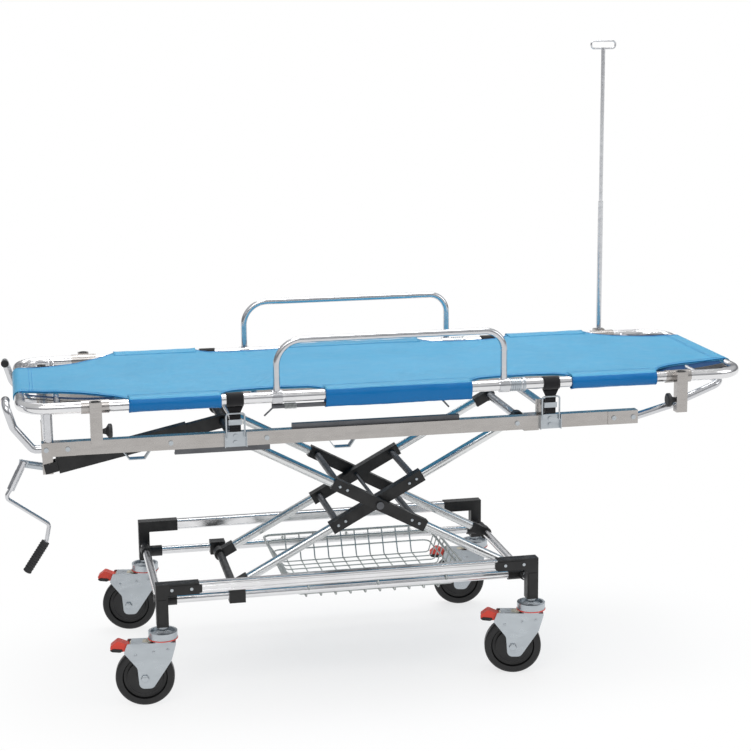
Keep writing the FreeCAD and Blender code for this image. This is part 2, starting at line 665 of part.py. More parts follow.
def head_handle():
    """Bent bar at the head end that also carries the litter's end."""
    y = rail_middle_y
    under = S.litter_z - S.litter_tube_r - S.soft_gap - S.handle_tube_r
    side = [Vector(rail_head_x, y, 683), Vector(862, y, 708), Vector(1003, y, under)]
    points = side + [Vector(point.x, -point.y, point.z) for point in reversed(side)]
    bends = [0, 40, S.handle_bend, S.handle_bend, 40, 0]
    return node("head_handle", solid(tube_shape(points, bends, S.handle_tube_r, S.tube_wall), "Handle"))


def rail_bolts():
    """Domed bolt heads on the rails' outer faces, end plates and strap brackets."""
    proud = S.litter_y + S.plate_thick
    middle = rail_bottom + S.rail_height / 2
    places = [Vector(x, S.litter_y, middle) for x in (-451, -211, 440)]
    places += [Vector(x, proud, middle) for x in (S.rail_foot_x + 11, S.rail_foot_x + 63,
                                                  rail_head_x - 66, rail_head_x - 13)]
    for x in (S.bail_foot_x, S.bail_head_x):
        places += [Vector(x, proud, middle + 8), Vector(x, proud, middle - 8)]
    heads = []
    for place in places:
        disc = cylinder("bolt_r", "bolt_height", place, Y)
        heads.append(disc)
    return node("rail_bolts", group(both_sides(heads)))


def bail_brackets():
    """Zinc channel brackets on the rails; their flanges hold the wire bails."""
    brackets = []
    for x in (S.bail_foot_x, S.bail_head_x):
        web = block("bracket_width", "plate_thick", "bracket_height",
                    Vector(x - S.bracket_width / 2, S.litter_y, rail_bottom - 1))
        flanges = []
        for edge in (-S.bracket_width / 2, S.bracket_width / 2 - S.plate_thick):
            flange = block("plate_thick", "bracket_flange", "bracket_height",
                           Vector(x + edge, S.litter_y + S.plate_thick, rail_bottom - 1))
            flanges.append(flange)
        bore = cylinder("bail_wire_r + run_gap", "bracket_width",
                        Vector(x - S.bracket_width / 2, S.litter_y + S.bail_out, S.bail_pivot_z), X)
        brackets.append(cut(fuse([web] + flanges), [bore]))
    return node("bail_brackets", group(both_sides(brackets)))


def bail(tag, x, side):
    """Wire bail whose ends turn out through the bracket's flanges."""
    half = S.bail_width / 2
    out = side * (S.litter_y + S.bail_out)
    pin = S.bracket_width / 2 - half
    side_run = [Vector(x - half - pin, out, S.bail_pivot_z), Vector(x - half, out, S.bail_pivot_z),
                Vector(x - half, out, S.bail_top_z)]
    points = side_run + [Vector(2 * x - point.x, point.y, point.z) for point in reversed(side_run)]
    bends = [0, 3, S.bail_bend, S.bail_bend, 3, 0]
    return node(f"strap_bail_{tag}", solid(tube_shape(points, bends, S.bail_wire_r), "Bail"))


# ---------------------------------------------------------------- crank

rise = math.radians(S.crank_rise)
crank_axis = Vector(-math.cos(rise), 0, math.sin(rise))
crank_root = Vector(S.crank_root_x, 0, S.crank_root_z)
crank_hinge = crank_root + crank_axis * S.spindle_out
spindle_inside = 0.4 * S.bearing_x
strut_root = Vector(S.post_x, 0, S.crank_root_z - 3)


def crank_spindle():
    """Shaft in the bearing that ends in a flat tongue for the folding arm."""
    shaft = cylinder("spindle_r", f"{S.spindle_out + spindle_inside - 14}",
                     crank_root - crank_axis * spindle_inside, crank_axis)
    tongue = cylinder("spindle_r", "24", crank_hinge - crank_axis * 14, crank_axis)
    slab = 2 * S.spindle_r
    trims = [solid(Part.makeBox(60, slab, 60, crank_hinge + Vector(-40, lateral, -30)), "Trim")
             for lateral in (S.tongue, -S.tongue - slab)]
    trims.append(cylinder("hinge_pin_r + run_gap", "2*tongue", crank_hinge - Y * S.tongue, Y))
    return node("crank_spindle", fuse([shaft, cut(tongue, trims)]))


ARM = (Vector(-848, 0, 508), Vector(-862, 0, 489), Vector(-752, 0, 409), Vector(-761, 0, 366))
GRIP_END = Vector(-813, 0, 288)
arm_down = (ARM[0] - crank_hinge).normalize()
grip_axis = (GRIP_END - ARM[3]).normalize()
grip_foot = ARM[3] + grip_axis * 5


def crank_arm():
    """Folding arm: a slotted sleeve on the spindle's tongue and a bent rod into the grip."""
    sleeve = cylinder("crank_sleeve_r", "crank_sleeve_length", crank_hinge - arm_down * 8, arm_down)
    gap = S.tongue + S.soft_gap
    slot = solid(Part.makeBox(60, 2 * gap, 70, crank_hinge + Vector(-30, -gap, -16)), "Slot")
    pin = cylinder("hinge_pin_r", "2*crank_sleeve_r - 2", crank_hinge - Y * (S.crank_sleeve_r - 1), Y)
    start = crank_hinge + arm_down * (S.crank_sleeve_length - 12)
    points = [start] + list(ARM[1:]) + [grip_foot + grip_axis * (S.grip_length - 8)]
    rod = solid(tube_shape(points, [0, S.crank_bend, S.crank_bend, S.crank_bend, 0], S.crank_rod_r),
                "Rod")
    return node("crank_arm", fuse([cut(sleeve, [slot]), pin, rod]))


def crank_grip():
    """Black ribbed grip that turns freely on the end of the rod."""
    body = cylinder("grip_r", "grip_length", grip_foot, grip_axis)
    bore = cylinder("crank_rod_r + run_gap", "grip_length - 8 + run_gap", grip_foot, grip_axis)
    return node("crank_grip", cut(body, [bore]))


strut_end = Vector(leg_top_foot_x, 0, S.upper_pivot_z)
strut_run = (strut_end - strut_root).Length
strut_angle = math.degrees(math.atan2(strut_end.z - strut_root.z, strut_end.x - strut_root.x))
STRUT = Rotation(Y, -strut_angle)


def screw_housing():
    """Black outer box of the screw strut; its yoke turns on two studs in the bearing."""
    half = S.bearing_y / 2 + S.soft_gap
    wide = S.housing_width
    high = S.housing_height
    box = block("housing_length", "housing_width", "housing_height",
                Vector(S.housing_start, -wide / 2, -high / 2))
    hollow = block("housing_length", "housing_width - 2*housing_wall", "housing_height - 2*housing_wall",
                   Vector(S.housing_start + S.housing_wall, S.housing_wall - wide / 2,
                          S.housing_wall - high / 2))
    back = block("yoke_wall", f"{2 * (half + S.yoke_wall)}", "yoke_height",
                 Vector(S.housing_start - S.yoke_wall, -half - S.yoke_wall, -S.yoke_height / 2))
    cheeks = both_sides([block("housing_start + 9", "yoke_wall", "yoke_height",
                               Vector(-9, half, -S.yoke_height / 2))])
    inner = S.bearing_y / 2 - S.trunnion_depth + S.soft_gap
    studs = both_sides([cylinder("trunnion_r", f"{half + S.yoke_wall - inner}", Y * inner, Y)])
    whole = group([cut(fuse([box, back] + cheeks + studs), [hollow])])
    whole.Placement = Placement(strut_root, STRUT)
    return node("screw_housing", whole)


def screw_tube():
    """Black inner tube of the strut, on the upper slider's bar; it slides in the housing."""
    wide = S.housing_width - 2 * S.housing_wall - 2 * S.slide_gap
    high = S.housing_height - 2 * S.housing_wall - 2 * S.slide_gap
    bar = block("strut_length", f"{wide}", f"{high}",
                Vector(strut_run - S.strut_length, -wide / 2, -high / 2))
    eye = cylinder("strut_eye_r", f"{wide}", Vector(strut_run, -wide / 2, 0), Y)
    bore = cylinder("pivot_bar_r + run_gap", f"{wide}", Vector(strut_run, -wide / 2, 0), Y)
    whole = group([cut(fuse([bar, eye]), [bore])])
    whole.Placement = Placement(strut_root, STRUT)
    return node("screw_tube", whole)


# ---------------------------------------------------------------- litter

def litter_tube():
    """Main loop of the litter: two long tubes and a bow at each end."""
    shank = S.bow_shank
    low = S.litter_foot_x + S.foot_bend + shank
    high = S.litter_head_x - S.head_bend - shank
    pieces = both_sides([straight_tube("litter_tube_r", "tube_wall", f"{high - low}",
                                       Vector(low, S.litter_y, S.litter_z), X)])
    for joint_x, end_x, bend in ((low, S.litter_foot_x, S.foot_bend), (high, S.litter_head_x, S.head_bend)):
        corners = [(joint_x, -1), (end_x, -1), (end_x, 1), (joint_x, 1)]
        points = [Vector(x, side * S.litter_y, S.litter_z) for x, side in corners]
        pieces.append(solid(tube_shape(points, bend, S.litter_tube_r, S.tube_wall), "Bow"))
    return node("litter_tube", group(pieces))


SOCKETS = (("foot_right", S.socket_foot_x, -1), ("foot_left", S.socket_foot_x, 1),
           ("head_right", S.socket_head_x, -1), ("head_left", S.socket_head_x, 1))
socket_face = S.litter_y + S.litter_tube_r
socket_y = socket_face + S.socket_y / 2


def knob_side(x):
    return 1 if x < S.centre_x else -1


def pole_sockets():
    """Upright square sockets clamped outside the main tube, for a drip pole."""
    sockets = []
    for x in (S.socket_foot_x, S.socket_head_x):
        upright = block("socket_x", "socket_y", "socket_height",
                        Vector(x - S.socket_x / 2, socket_face, S.socket_bottom))
        saddle = cylinder("litter_tube_r + saddle_wall", "saddle_length",
                          Vector(x - S.saddle_length / 2, S.litter_y, S.litter_z), X)
        tube = cylinder("litter_tube_r", "saddle_length",
                        Vector(x - S.saddle_length / 2, S.litter_y, S.litter_z), X)
        bore = cylinder("socket_bore_r", "socket_height", Vector(x, socket_y, S.socket_bottom))
        face = knob_side(x) * S.socket_x / 2
        stud_hole = cylinder("knob_stud_r + run_gap", "socket_x/2", Vector(x, socket_y, S.knob_z),
                             X * math.copysign(1, face))
        sockets.append(cut(fuse([upright, saddle]), [tube, bore, stud_hole]))
    return node("pole_sockets", group(both_sides(sockets)))


def socket_knob(tag, x, side):
    """Black clamp knob with a threaded stud, turned about the cot's length."""
    out = knob_side(x)
    wall = S.socket_x / 2 - S.socket_bore_r
    profile = rounded(flat((0, -wall + S.soft_gap), (S.knob_stud_r, -wall + S.soft_gap),
                           (S.knob_stud_r, S.soft_gap), (6, S.soft_gap), (8, 8),
                           (S.knob_r, S.knob_length - 9), (S.knob_r, S.knob_length - 2),
                           (S.knob_r - 4, S.knob_length), (0, S.knob_length)), 0, closed=True)
    knob = turned(profile, "Knob")
    knob.Placement = Placement(Vector(x + out * S.socket_x / 2, side * socket_y, S.knob_z),
                               Rotation(Z, X * out))
    return node(f"clamp_knob_{tag}", knob)


def ring(x, length, inner, outer):
    """Sleeve round the main tube, on the left side."""
    tube = Part.makeCylinder(outer, length, Vector(x, S.litter_y, S.litter_z), X)
    return tube.cut(Part.makeCylinder(inner, length, Vector(x, S.litter_y, S.litter_z), X))


SLEEVES = ((-551, -324), (-62, 316), (583, 812))
SCOOP = 42.0
FOOT_HALF_WIDTH = 152.0
HEAD_HALF_WIDTH = 180.0


def fabric_panel():
    """Bed fabric: a flat panel with three sleeves a side, wrapped round both end tubes."""
    inner = S.litter_tube_r + S.soft_gap
    outer = inner + S.fabric_thick
    bottom = S.litter_z + inner
    edge = [(S.litter_foot_x, FOOT_HALF_WIDTH), (SLEEVES[0][0] - 150, 0.58 * S.litter_y)]
    for low, high in SLEEVES:
        edge += [(low - 30, S.litter_y - SCOOP), (low, S.litter_y), (high, S.litter_y),
                 (high + 30, S.litter_y - SCOOP)]
    edge += [(SLEEVES[2][1] + 120, 0.68 * S.litter_y), (S.litter_head_x, HEAD_HALF_WIDTH)]
    loop = [Vector(x, y, bottom) for x, y in edge]
    loop += [Vector(x, -y, bottom) for x, y in reversed(edge)]
    sheet_shape = Part.Face(Part.makePolygon(loop + [loop[0]])).extrude(Z * S.fabric_thick)
    pieces = []
    for low, high in SLEEVES:
        sleeve = ring(low, high - low, inner, outer)
        pieces += [sleeve, sleeve.mirror(Vector(), Y)]
    for x, half in ((S.litter_foot_x, FOOT_HALF_WIDTH), (S.litter_head_x, HEAD_HALF_WIDTH)):
        place = Vector(x, -half, S.litter_z)
        wrap = Part.makeCylinder(outer, 2 * half, place, Y)
        pieces.append(wrap.cut(Part.makeCylinder(inner, 2 * half, place, Y)))
    whole = sheet_shape.multiFuse(pieces).removeSplitter()
    return node("fabric_panel", solid(whole, "Fabric"))


def litter_straps():
    """Black webbing: a band round the main tube with a stem down to each strap bracket."""
    inner = S.litter_tube_r + S.soft_gap
    straps = []
    for x in (S.bail_foot_x, S.bail_head_x):
        band = ring(x - S.strap_width / 2, S.strap_width, inner, inner + S.strap_thick)
        top = S.litter_z - inner - S.strap_thick / 2
        stem = Part.makeBox(S.strap_stem, 4, top - S.stem_bottom,
                            Vector(x - S.strap_stem / 2, S.litter_y - 2, S.stem_bottom))
        straps.append(solid(band.fuse(stem).removeSplitter(), "Strap"))
    return node("litter_straps", group(both_sides(straps)))


def litter_cross_bars():
    """Bars between the two long tubes that keep the fabric stretched."""
    reach = S.litter_y - S.litter_tube_r - S.soft_gap
    bars = []
    strap_end = S.bail_foot_x + S.strap_width / 2
    collar_start = S.guard_foot_x - S.collar_length / 2
    for x in (S.socket_foot_x - 90, (strap_end + collar_start) / 2, S.socket_head_x + 60):
        bars.append(straight_tube("litter_bar_r", "tube_wall", f"{2 * reach}",
                                  Vector(x, -reach, S.litter_z), Y))
    return node("litter_cross_bars", group(bars))


def rail_springs():
    """Coil springs on the main tube beside the side rails' head-end collars, and their stops."""
    start = S.guard_head_x + S.collar_length / 2 + 2 * S.spring_wire_r
    inner = S.litter_tube_r + S.run_gap
    wire = 2 * S.spring_wire_r
    profile = [(inner, 0)]
    for coil_turn in range(int(S.spring_length / S.spring_pitch)):
        low = coil_turn * S.spring_pitch
        profile += [(inner + wire, low), (inner + wire, low + wire), (inner + 0.4, low + wire + 0.6),
                    (inner + 0.4, low + S.spring_pitch)]
    profile.append((inner, S.spring_pitch * int(S.spring_length / S.spring_pitch)))
    coil = turned(rounded(flat(*profile), 0, closed=True), "Coil")
    coil.Placement = Placement(Vector(start, S.litter_y, S.litter_z), Rotation(Z, X))
    stop = solid(ring(start + S.spring_length + 2 * S.spring_wire_r, 7, S.litter_tube_r, 18), "Stop")
    return node("rail_springs", group(both_sides([coil, stop])))


def side_rail(tag, side):
    """Fold-down side rail: a bent tube on two collars that turn on the main tube."""
    y = side * S.litter_y
    inner = S.litter_tube_r + S.run_gap
    foot = S.litter_z + S.litter_tube_r + S.collar_wall / 2
    points = [Vector(S.guard_foot_x, y, foot), Vector(S.guard_foot_x, y, S.guard_top),
              Vector(S.guard_head_x, y, S.guard_top), Vector(S.guard_head_x, y, foot)]
    bar = solid(tube_shape(points, [0, S.guard_foot_bend, S.guard_head_bend, 0], S.guard_tube_r), "Guard")
    collars = []
    bores = []
    for x in (S.guard_foot_x, S.guard_head_x):
        start = Vector(x - S.collar_length / 2, y, S.litter_z)
        collars.append(cylinder(f"litter_tube_r + collar_wall", "collar_length", start, X))
        bores.append(cylinder(f"{inner}", "collar_length", start, X))
    return node(f"side_rail_{tag}", cut(fuse([bar] + collars), bores))


release_z = S.litter_z - S.litter_tube_r - S.collar_wall - S.release_r - S.soft_gap


def release_rod(tag, side):
    """Rod under the main tube with a thumb lever at each end; turning it frees the side rail."""
    foot = Vector(S.release_foot_x, side * S.litter_y, release_z)
    head = foot + X * S.release_length
    rod = cylinder("release_r", "release_length", foot, X)
    inset = S.release_r
    levers = [cylinder("lever_r", "lever_length", foot + X * inset, Vector(-1, 0, -0.9)),
              cylinder("lever_r", "lever_length", head - X * inset, Vector(1, 0, -1.1))]
    return node(f"release_rod_{tag}", fuse([rod] + levers))


def drip_pole():
    """Telescopic drip pole in the head-end left socket, with a closed wire hook."""
    x = S.socket_head_x
    base = Vector(x, socket_y, S.socket_bottom)
    tube = cylinder("socket_bore_r - run_gap", "pole_tube_top - socket_bottom", base)
    bore = cylinder("pole_rod_r + run_gap", "pole_tube_top - socket_bottom", base)
    node("drip_pole_tube", cut(tube, [bore]))
    rod_foot = Vector(x, socket_y, S.pole_tube_top - S.pole_insert)
    hook_bottom = S.pole_top - S.hook_height + S.hook_wire_r
    rod = cylinder("pole_rod_r", f"{hook_bottom - rod_foot.z + S.hook_wire_r}", rod_foot)
    half = S.hook_length / 2 - S.hook_wire_r
    top = S.pole_top - S.hook_wire_r
    corners = [Vector(x, socket_y, hook_bottom), Vector(x + half, socket_y, hook_bottom),
               Vector(x + half, socket_y, top), Vector(x - half, socket_y, top),
               Vector(x - half, socket_y, hook_bottom)]
    path = rounded(corners, [0, 9, 9, 9, 9], closed=True)
    hook = solid(swept(path, S.hook_wire_r), "Hook")
    node("drip_pole_rod", fuse([rod, hook]))


# ---------------------------------------------------------------- the whole cot

base_tubes()
frame_connectors()
slide_tubes()
base_fasteners()
basket()
for tag, end, side, angle in CASTERS:
    fork(tag, end, side, angle)
    wheel(tag, end, side, angle)
    pedal(tag, end, side, angle)
lower_slider()
for letter, leg, lateral, centre_pin in (("a", LEG_A, "leg_a_y", False), ("b", LEG_B, "leg_b_y", True)):
    leg_tubes(f"leg_{letter}_tubes", leg, lateral)
    leg_joints(f"leg_{letter}_joints", leg, lateral, 0 if centre_pin else S.run_gap)
    leg_bars(f"leg_{letter}_bars", leg, lateral, centre_pin)
upper_slider()
upper_rails()
rail_end_plates()
frame_cross_tubes()
rail_feet()
guide_channels()
frame_blocks()
foot_handles()
head_handle()
rail_bolts()
bail_brackets()
for tag, side in SIDES:
    bail(f"foot_{tag}", S.bail_foot_x, side)
    bail(f"head_{tag}", S.bail_head_x, side)
crank_spindle()
crank_arm()
crank_grip()
screw_housing()
screw_tube()
litter_tube()
pole_sockets()
for tag, x, side in SOCKETS:
    socket_knob(tag, x, side)
fabric_panel()
litter_straps()
litter_cross_bars()
rail_springs()
for tag, side in SIDES:
    side_rail(tag, side)
    release_rod(tag, side)
drip_pole()

doc.recompute()

faults = [item.Label for item in doc.Objects if "Invalid" in item.State or "Error" in item.State]
for name, piece in NODES.items():
    if piece.Shape.isNull() or not piece.Shape.isValid() or not piece.Shape.Solids:
        faults.append(name)
if faults:
    raise RuntimeError("Failed objects: " + ", ".join(faults))

for name, piece in NODES.items():
    piece.Shape.exportStep(f"parts/{name}.step")

whole = FreeCAD.BoundBox()
for piece in NODES.values():
    whole.add(piece.Shape.BoundBox)
print(len(NODES), "sub-parts; box", whole)
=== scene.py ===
import bpy
import bmesh
import math
from mathutils import Matrix, Vector, noise


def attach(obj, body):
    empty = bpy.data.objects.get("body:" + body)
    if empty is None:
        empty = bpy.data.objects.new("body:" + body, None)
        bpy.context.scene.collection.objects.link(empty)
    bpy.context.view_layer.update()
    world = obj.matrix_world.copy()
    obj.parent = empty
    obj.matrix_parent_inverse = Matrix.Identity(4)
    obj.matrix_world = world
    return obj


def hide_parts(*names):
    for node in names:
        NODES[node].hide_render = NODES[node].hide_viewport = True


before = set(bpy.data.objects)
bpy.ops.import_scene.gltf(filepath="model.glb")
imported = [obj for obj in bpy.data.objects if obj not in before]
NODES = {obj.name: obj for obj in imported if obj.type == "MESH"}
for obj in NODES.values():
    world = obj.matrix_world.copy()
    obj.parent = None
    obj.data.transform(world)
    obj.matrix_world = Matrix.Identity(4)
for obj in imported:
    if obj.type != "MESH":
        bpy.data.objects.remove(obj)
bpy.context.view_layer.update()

# Places from the part's own drawing: millimetres from the middle of the base frame.
MIDDLE_X = 106.3
TUBE_R = 14.0
TUBE_Y = 303.0
TUBE_Z = 787.0
FOOT_X = -812.0
HEAD_X = 1058.0
SLEEVES = ((-551, -324), (-62, 316), (583, 812))
SIDES = (("right", -1), ("left", 1))


def mm(x, y, z):
    return Vector(((x - MIDDLE_X) / 1000, y / 1000, z / 1000))


# ---------------------------------------------------------------- finishes

class Finish:
    """A node-based material with helpers that keep its tree short."""

    def __init__(self, name, colour, metallic=0.0, roughness=0.4, **sockets):
        self.material = bpy.data.materials.new(name)
        self.material.use_nodes = True
        self.nodes = self.material.node_tree.nodes
        self.links = self.material.node_tree.links
        self.shader = self.nodes["Principled BSDF"]
        self.colour = colour
        self.shader.inputs["Base Color"].default_value = (*colour, 1)
        self.shader.inputs["Metallic"].default_value = metallic
        self.shader.inputs["Roughness"].default_value = roughness
        for socket, value in sockets.items():
            self.shader.inputs[socket.replace("_", " ")].default_value = value
        self.place = self.nodes.new("ShaderNodeTexCoord").outputs["Object"]
        self.normal = None

    def mapped(self, scale):
        node = self.nodes.new("ShaderNodeMapping")
        node.inputs["Scale"].default_value = scale
        self.links.new(self.place, node.inputs["Vector"])
        return node.outputs["Vector"]

    def noise(self, scale, detail=4.0, stretch=(1, 1, 1)):
        node = self.nodes.new("ShaderNodeTexNoise")
        node.inputs["Scale"].default_value = scale
        node.inputs["Detail"].default_value = detail
        self.links.new(self.mapped(stretch), node.inputs["Vector"])
        return node.outputs["Fac"]

    def wave(self, scale, direction="X"):
        node = self.nodes.new("ShaderNodeTexWave")
        node.bands_direction = direction
        node.inputs["Scale"].default_value = scale
        self.links.new(self.place, node.inputs["Vector"])
        return node.outputs["Fac"]

    def span(self, value, low, high, source_low=0.3, source_high=0.7):
        node = self.nodes.new("ShaderNodeMapRange")
        node.inputs["From Min"].default_value = source_low
        node.inputs["From Max"].default_value = source_high
        node.inputs["To Min"].default_value = low
        node.inputs["To Max"].default_value = high
        self.links.new(value, node.inputs["Value"])
        return node.outputs["Result"]

    def tint(self, value, other, base=None):
        """Mix the finish's colour with another by a 0 to 1 value."""
        node = self.nodes.new("ShaderNodeMix")
        node.data_type = "RGBA"
        self.links.new(value, node.inputs["Factor"])
        if base is None:
            node.inputs["A"].default_value = (*self.colour, 1)
        else:
            self.links.new(base, node.inputs["A"])
        node.inputs["B"].default_value = (*other, 1)
        self.links.new(node.outputs["Result"], self.shader.inputs["Base Color"])
        return node.outputs["Result"]

    def rough(self, value, low, high):
        self.links.new(self.span(value, low, high), self.shader.inputs["Roughness"])

    def bump(self, value, height, strength=0.6):
        node = self.nodes.new("ShaderNodeBump")
        node.inputs["Distance"].default_value = height
        node.inputs["Strength"].default_value = strength
        self.links.new(value, node.inputs["Height"])
        if self.normal is not None:
            self.links.new(self.normal, node.inputs["Normal"])
        self.normal = node.outputs["Normal"]
        self.links.new(self.normal, self.shader.inputs["Normal"])

    def multiply(self, first, second):
        node = self.nodes.new("ShaderNodeMath")
        node.operation = "MULTIPLY"
        self.links.new(first, node.inputs[0])
        self.links.new(second, node.inputs[1])
        return node.outputs[0]


def drawn_metal(name, colour, other, low, high, grain=(3, 260, 260), fine=0.00004):
    """Tube or rail metal with fine drawing lines along the cot and dull handled patches."""
    finish = Finish(name, colour, metallic=1.0, roughness=low, Specular_IOR_Level=0.5)
    lines = finish.noise(1.0, 5, grain)
    patches = finish.noise(9.0, 4)
    blend = finish.tint(finish.span(patches, 0, 0.5), other)
    finish.tint(finish.span(lines, 0, 0.12, 0.5, 0.75), tuple(0.72 * c for c in colour), blend)
    finish.rough(finish.noise(30, 4, (1, 3, 3)), low, high)
    finish.bump(lines, fine, 0.12)
    finish.bump(finish.noise(7, 2), 0.0002, 0.05)
    return finish.material


def moulded(name, colour, low=0.32, high=0.55, grain=900, depth=0.00008):
    """Moulded plastic: fine spark texture, faint flow marks and scuffed patches."""
    finish = Finish(name, colour, roughness=low, Specular_IOR_Level=0.5)
    finish.tint(finish.span(finish.noise(24, 5), 0, 0.6, 0.45, 0.8), tuple(0.006 + 1.4 * c for c in colour))
    finish.rough(finish.noise(40, 4), low, high)
    finish.bump(finish.noise(grain, 2), depth, 0.35)
    finish.bump(finish.noise(14, 2), 0.0004, 0.2)
    return finish.material


def cloth(name, colour, dark, roughness, weave=420.0, depth=0.00025, sheen=0.0):
    """Coated woven cloth: crossed threads, soft creases and slow colour drift."""
    finish = Finish(name, colour, roughness=roughness, Specular_IOR_Level=0.28)
    finish.shader.inputs["Sheen Weight"].default_value = sheen
    finish.shader.inputs["Sheen Roughness"].default_value = 0.4
    threads = finish.multiply(finish.wave(weave, "X"), finish.wave(weave, "Y"))
    drift = finish.tint(finish.span(finish.noise(5, 5), 0, 0.55), dark)
    finish.tint(finish.span(threads, 0.22, 0, 0.0, 0.6), dark, drift)
    finish.rough(finish.noise(18, 4), roughness * 0.85, roughness * 1.25)
    finish.bump(finish.noise(11, 5, (1, 0.45, 1)), 0.0035, 0.35)
    finish.bump(threads, depth, 0.5)
    return finish.material


ALUMINIUM = drawn_metal("polished aluminium", (0.80, 0.80, 0.81), (0.66, 0.66, 0.67), 0.14, 0.26)
LEG_METAL = drawn_metal("leg aluminium", (0.74, 0.75, 0.75), (0.62, 0.63, 0.63), 0.20, 0.34)
STAINLESS = drawn_metal("brushed stainless rail", (0.47, 0.45, 0.435), (0.38, 0.36, 0.34), 0.20, 0.34)
BRIGHT_STEEL = drawn_metal("bright bent tube", (0.66, 0.67, 0.69), (0.50, 0.50, 0.52), 0.14, 0.3)
ZINC = drawn_metal("zinc plated steel", (0.50, 0.54, 0.57), (0.42, 0.45, 0.48), 0.24, 0.42,
                   (12, 12, 90), 0.00008)
WARM_ZINC = drawn_metal("yellowed zinc plate", (0.62, 0.58, 0.47), (0.45, 0.42, 0.35), 0.3, 0.5,
                        (70, 70, 70), 0.00008)
DARK_STEEL = drawn_metal("dark painted steel", (0.16, 0.165, 0.175), (0.09, 0.09, 0.10), 0.35, 0.55)
WIRE = drawn_metal("basket wire", (0.55, 0.58, 0.57), (0.34, 0.36, 0.35), 0.25, 0.45, (90, 90, 90), 0.00006)
BLACK = moulded("black moulded plastic", (0.004, 0.004, 0.0045))
BLACK_GRIP = moulded("ribbed black grip", (0.016, 0.016, 0.017), 0.45, 0.65, 500, 0.0002)
RED = moulded("red pedal plastic", (0.66, 0.045, 0.022), 0.25, 0.42)
TYRE = moulded("black wheel", (0.003, 0.003, 0.0035), 0.32, 0.5, 650, 0.00008)
# Bed cloth: the cloth's own deep blue (as in the sleeves) painted lighter, a painted sheen standing in for
# the overhead light on upward faces.
OVERHEAD_LIT_BLUE = cloth("blue cloth with painted overhead sheen", (0.075, 0.35, 0.57), (0.05, 0.30, 0.51), 0.36)
SLEEVE_BLUE = cloth("blue sleeve cloth", (0.0, 0.165, 0.45), (0.0, 0.125, 0.37), 0.32)
# The cloth's blue painted about three times darker: painted shade for cloth that lies under the bed.
SHADE_PAINTED_BLUE = cloth("blue cloth painted with shade underneath", (0.004, 0.055, 0.17), (0.002, 0.03, 0.10), 0.6)
WEBBING = cloth("black webbing", (0.012, 0.012, 0.014), (0.004, 0.004, 0.005), 0.7, 700.0, 0.0005, 0.3)
THREAD = cloth("pale blue thread", (0.16, 0.42, 0.72), (0.08, 0.3, 0.6), 0.7, 900.0, 0.0001)
CASTERS = (("foot_right", -1, -1, -6), ("foot_left", -1, 1, -10), ("head_right", 1, -1, -14),
           ("head_left", 1, 1, -10))
FINISHES = {
    "base_tubes": ALUMINIUM, "frame_connectors": BLACK, "slide_tubes": ALUMINIUM, "base_fasteners": ZINC,
    "lower_slider": BLACK, "upper_slider": BLACK, "leg_a_tubes": LEG_METAL, "leg_b_tubes": LEG_METAL,
    "leg_a_joints": BLACK, "leg_b_joints": BLACK, "leg_a_bars": DARK_STEEL, "leg_b_bars": DARK_STEEL,
    "upper_rails": STAINLESS, "rail_end_plates": STAINLESS, "frame_cross_tubes": BRIGHT_STEEL,
    "rail_feet": ZINC, "guide_channels": DARK_STEEL, "frame_blocks": STAINLESS,
    "foot_handles": BRIGHT_STEEL, "head_handle": BRIGHT_STEEL, "rail_bolts": ZINC,
    "bail_brackets": ZINC, "crank_spindle": ZINC, "crank_arm": BRIGHT_STEEL, "crank_grip": BLACK_GRIP,
    "screw_housing": BLACK, "screw_tube": BLACK, "litter_tube": ALUMINIUM, "pole_sockets": STAINLESS,
    "litter_cross_bars": BRIGHT_STEEL, "rail_springs": ZINC, "side_rail_right": BRIGHT_STEEL,
    "side_rail_left": BRIGHT_STEEL, "release_rod_right": DARK_STEEL, "release_rod_left": DARK_STEEL,
    "drip_pole_tube": BRIGHT_STEEL, "drip_pole_rod": BRIGHT_STEEL,
}
for tag, _, _, _ in CASTERS:
    FINISHES[f"caster_fork_{tag}"] = ZINC
    FINISHES[f"caster_wheel_{tag}"] = TYRE
    FINISHES[f"brake_pedal_{tag}"] = RED
    FINISHES[f"strap_bail_{tag}"] = ZINC
    FINISHES[f"clamp_knob_{tag}"] = BLACK_GRIP
for name, material in FINISHES.items():
    slots = NODES[name].data.materials
    slots.clear()
    slots.append(material)


# ---------------------------------------------------------------- mesh helpers

def piece(name, points, faces, material, body, smooth=True):
    mesh = bpy.data.meshes.new(name)
    mesh.from_pydata([tuple(point) for point in points], [], faces)
    return finished(name, mesh, material, body, smooth)


def finished(name, mesh, material, body, smooth=True):
    """Clean a mesh, give it its finish and let it ride on a body."""
    work = bmesh.new()
    work.from_mesh(mesh)
    bmesh.ops.remove_doubles(work, verts=work.verts, dist=1e-6)
    bmesh.ops.recalc_face_normals(work, faces=work.faces)
    for face in work.faces:
        face.smooth = smooth
    work.to_mesh(mesh)
    work.free()
    mesh.materials.clear()
    mesh.materials.append(material)
    thing = bpy.data.objects.new(name, mesh)
    bpy.context.collection.objects.link(thing)
    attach(thing, body)
    return thing


def grid_faces(rows, columns, around=False, offset=0):
    faces = []
    for row in range(rows - 1):
        for column in range(columns if around else columns - 1):
            after = (column + 1) % columns
            faces.append((offset + row * columns + column, offset + row * columns + after,
                          offset + (row + 1) * columns + after, offset + (row + 1) * columns + column))
    return faces


def thicken(thing, thickness, offset=-1.0):
    solid = thing.modifiers.new("Cloth thickness", "SOLIDIFY")
    solid.thickness = thickness
    solid.offset = offset
    return thing


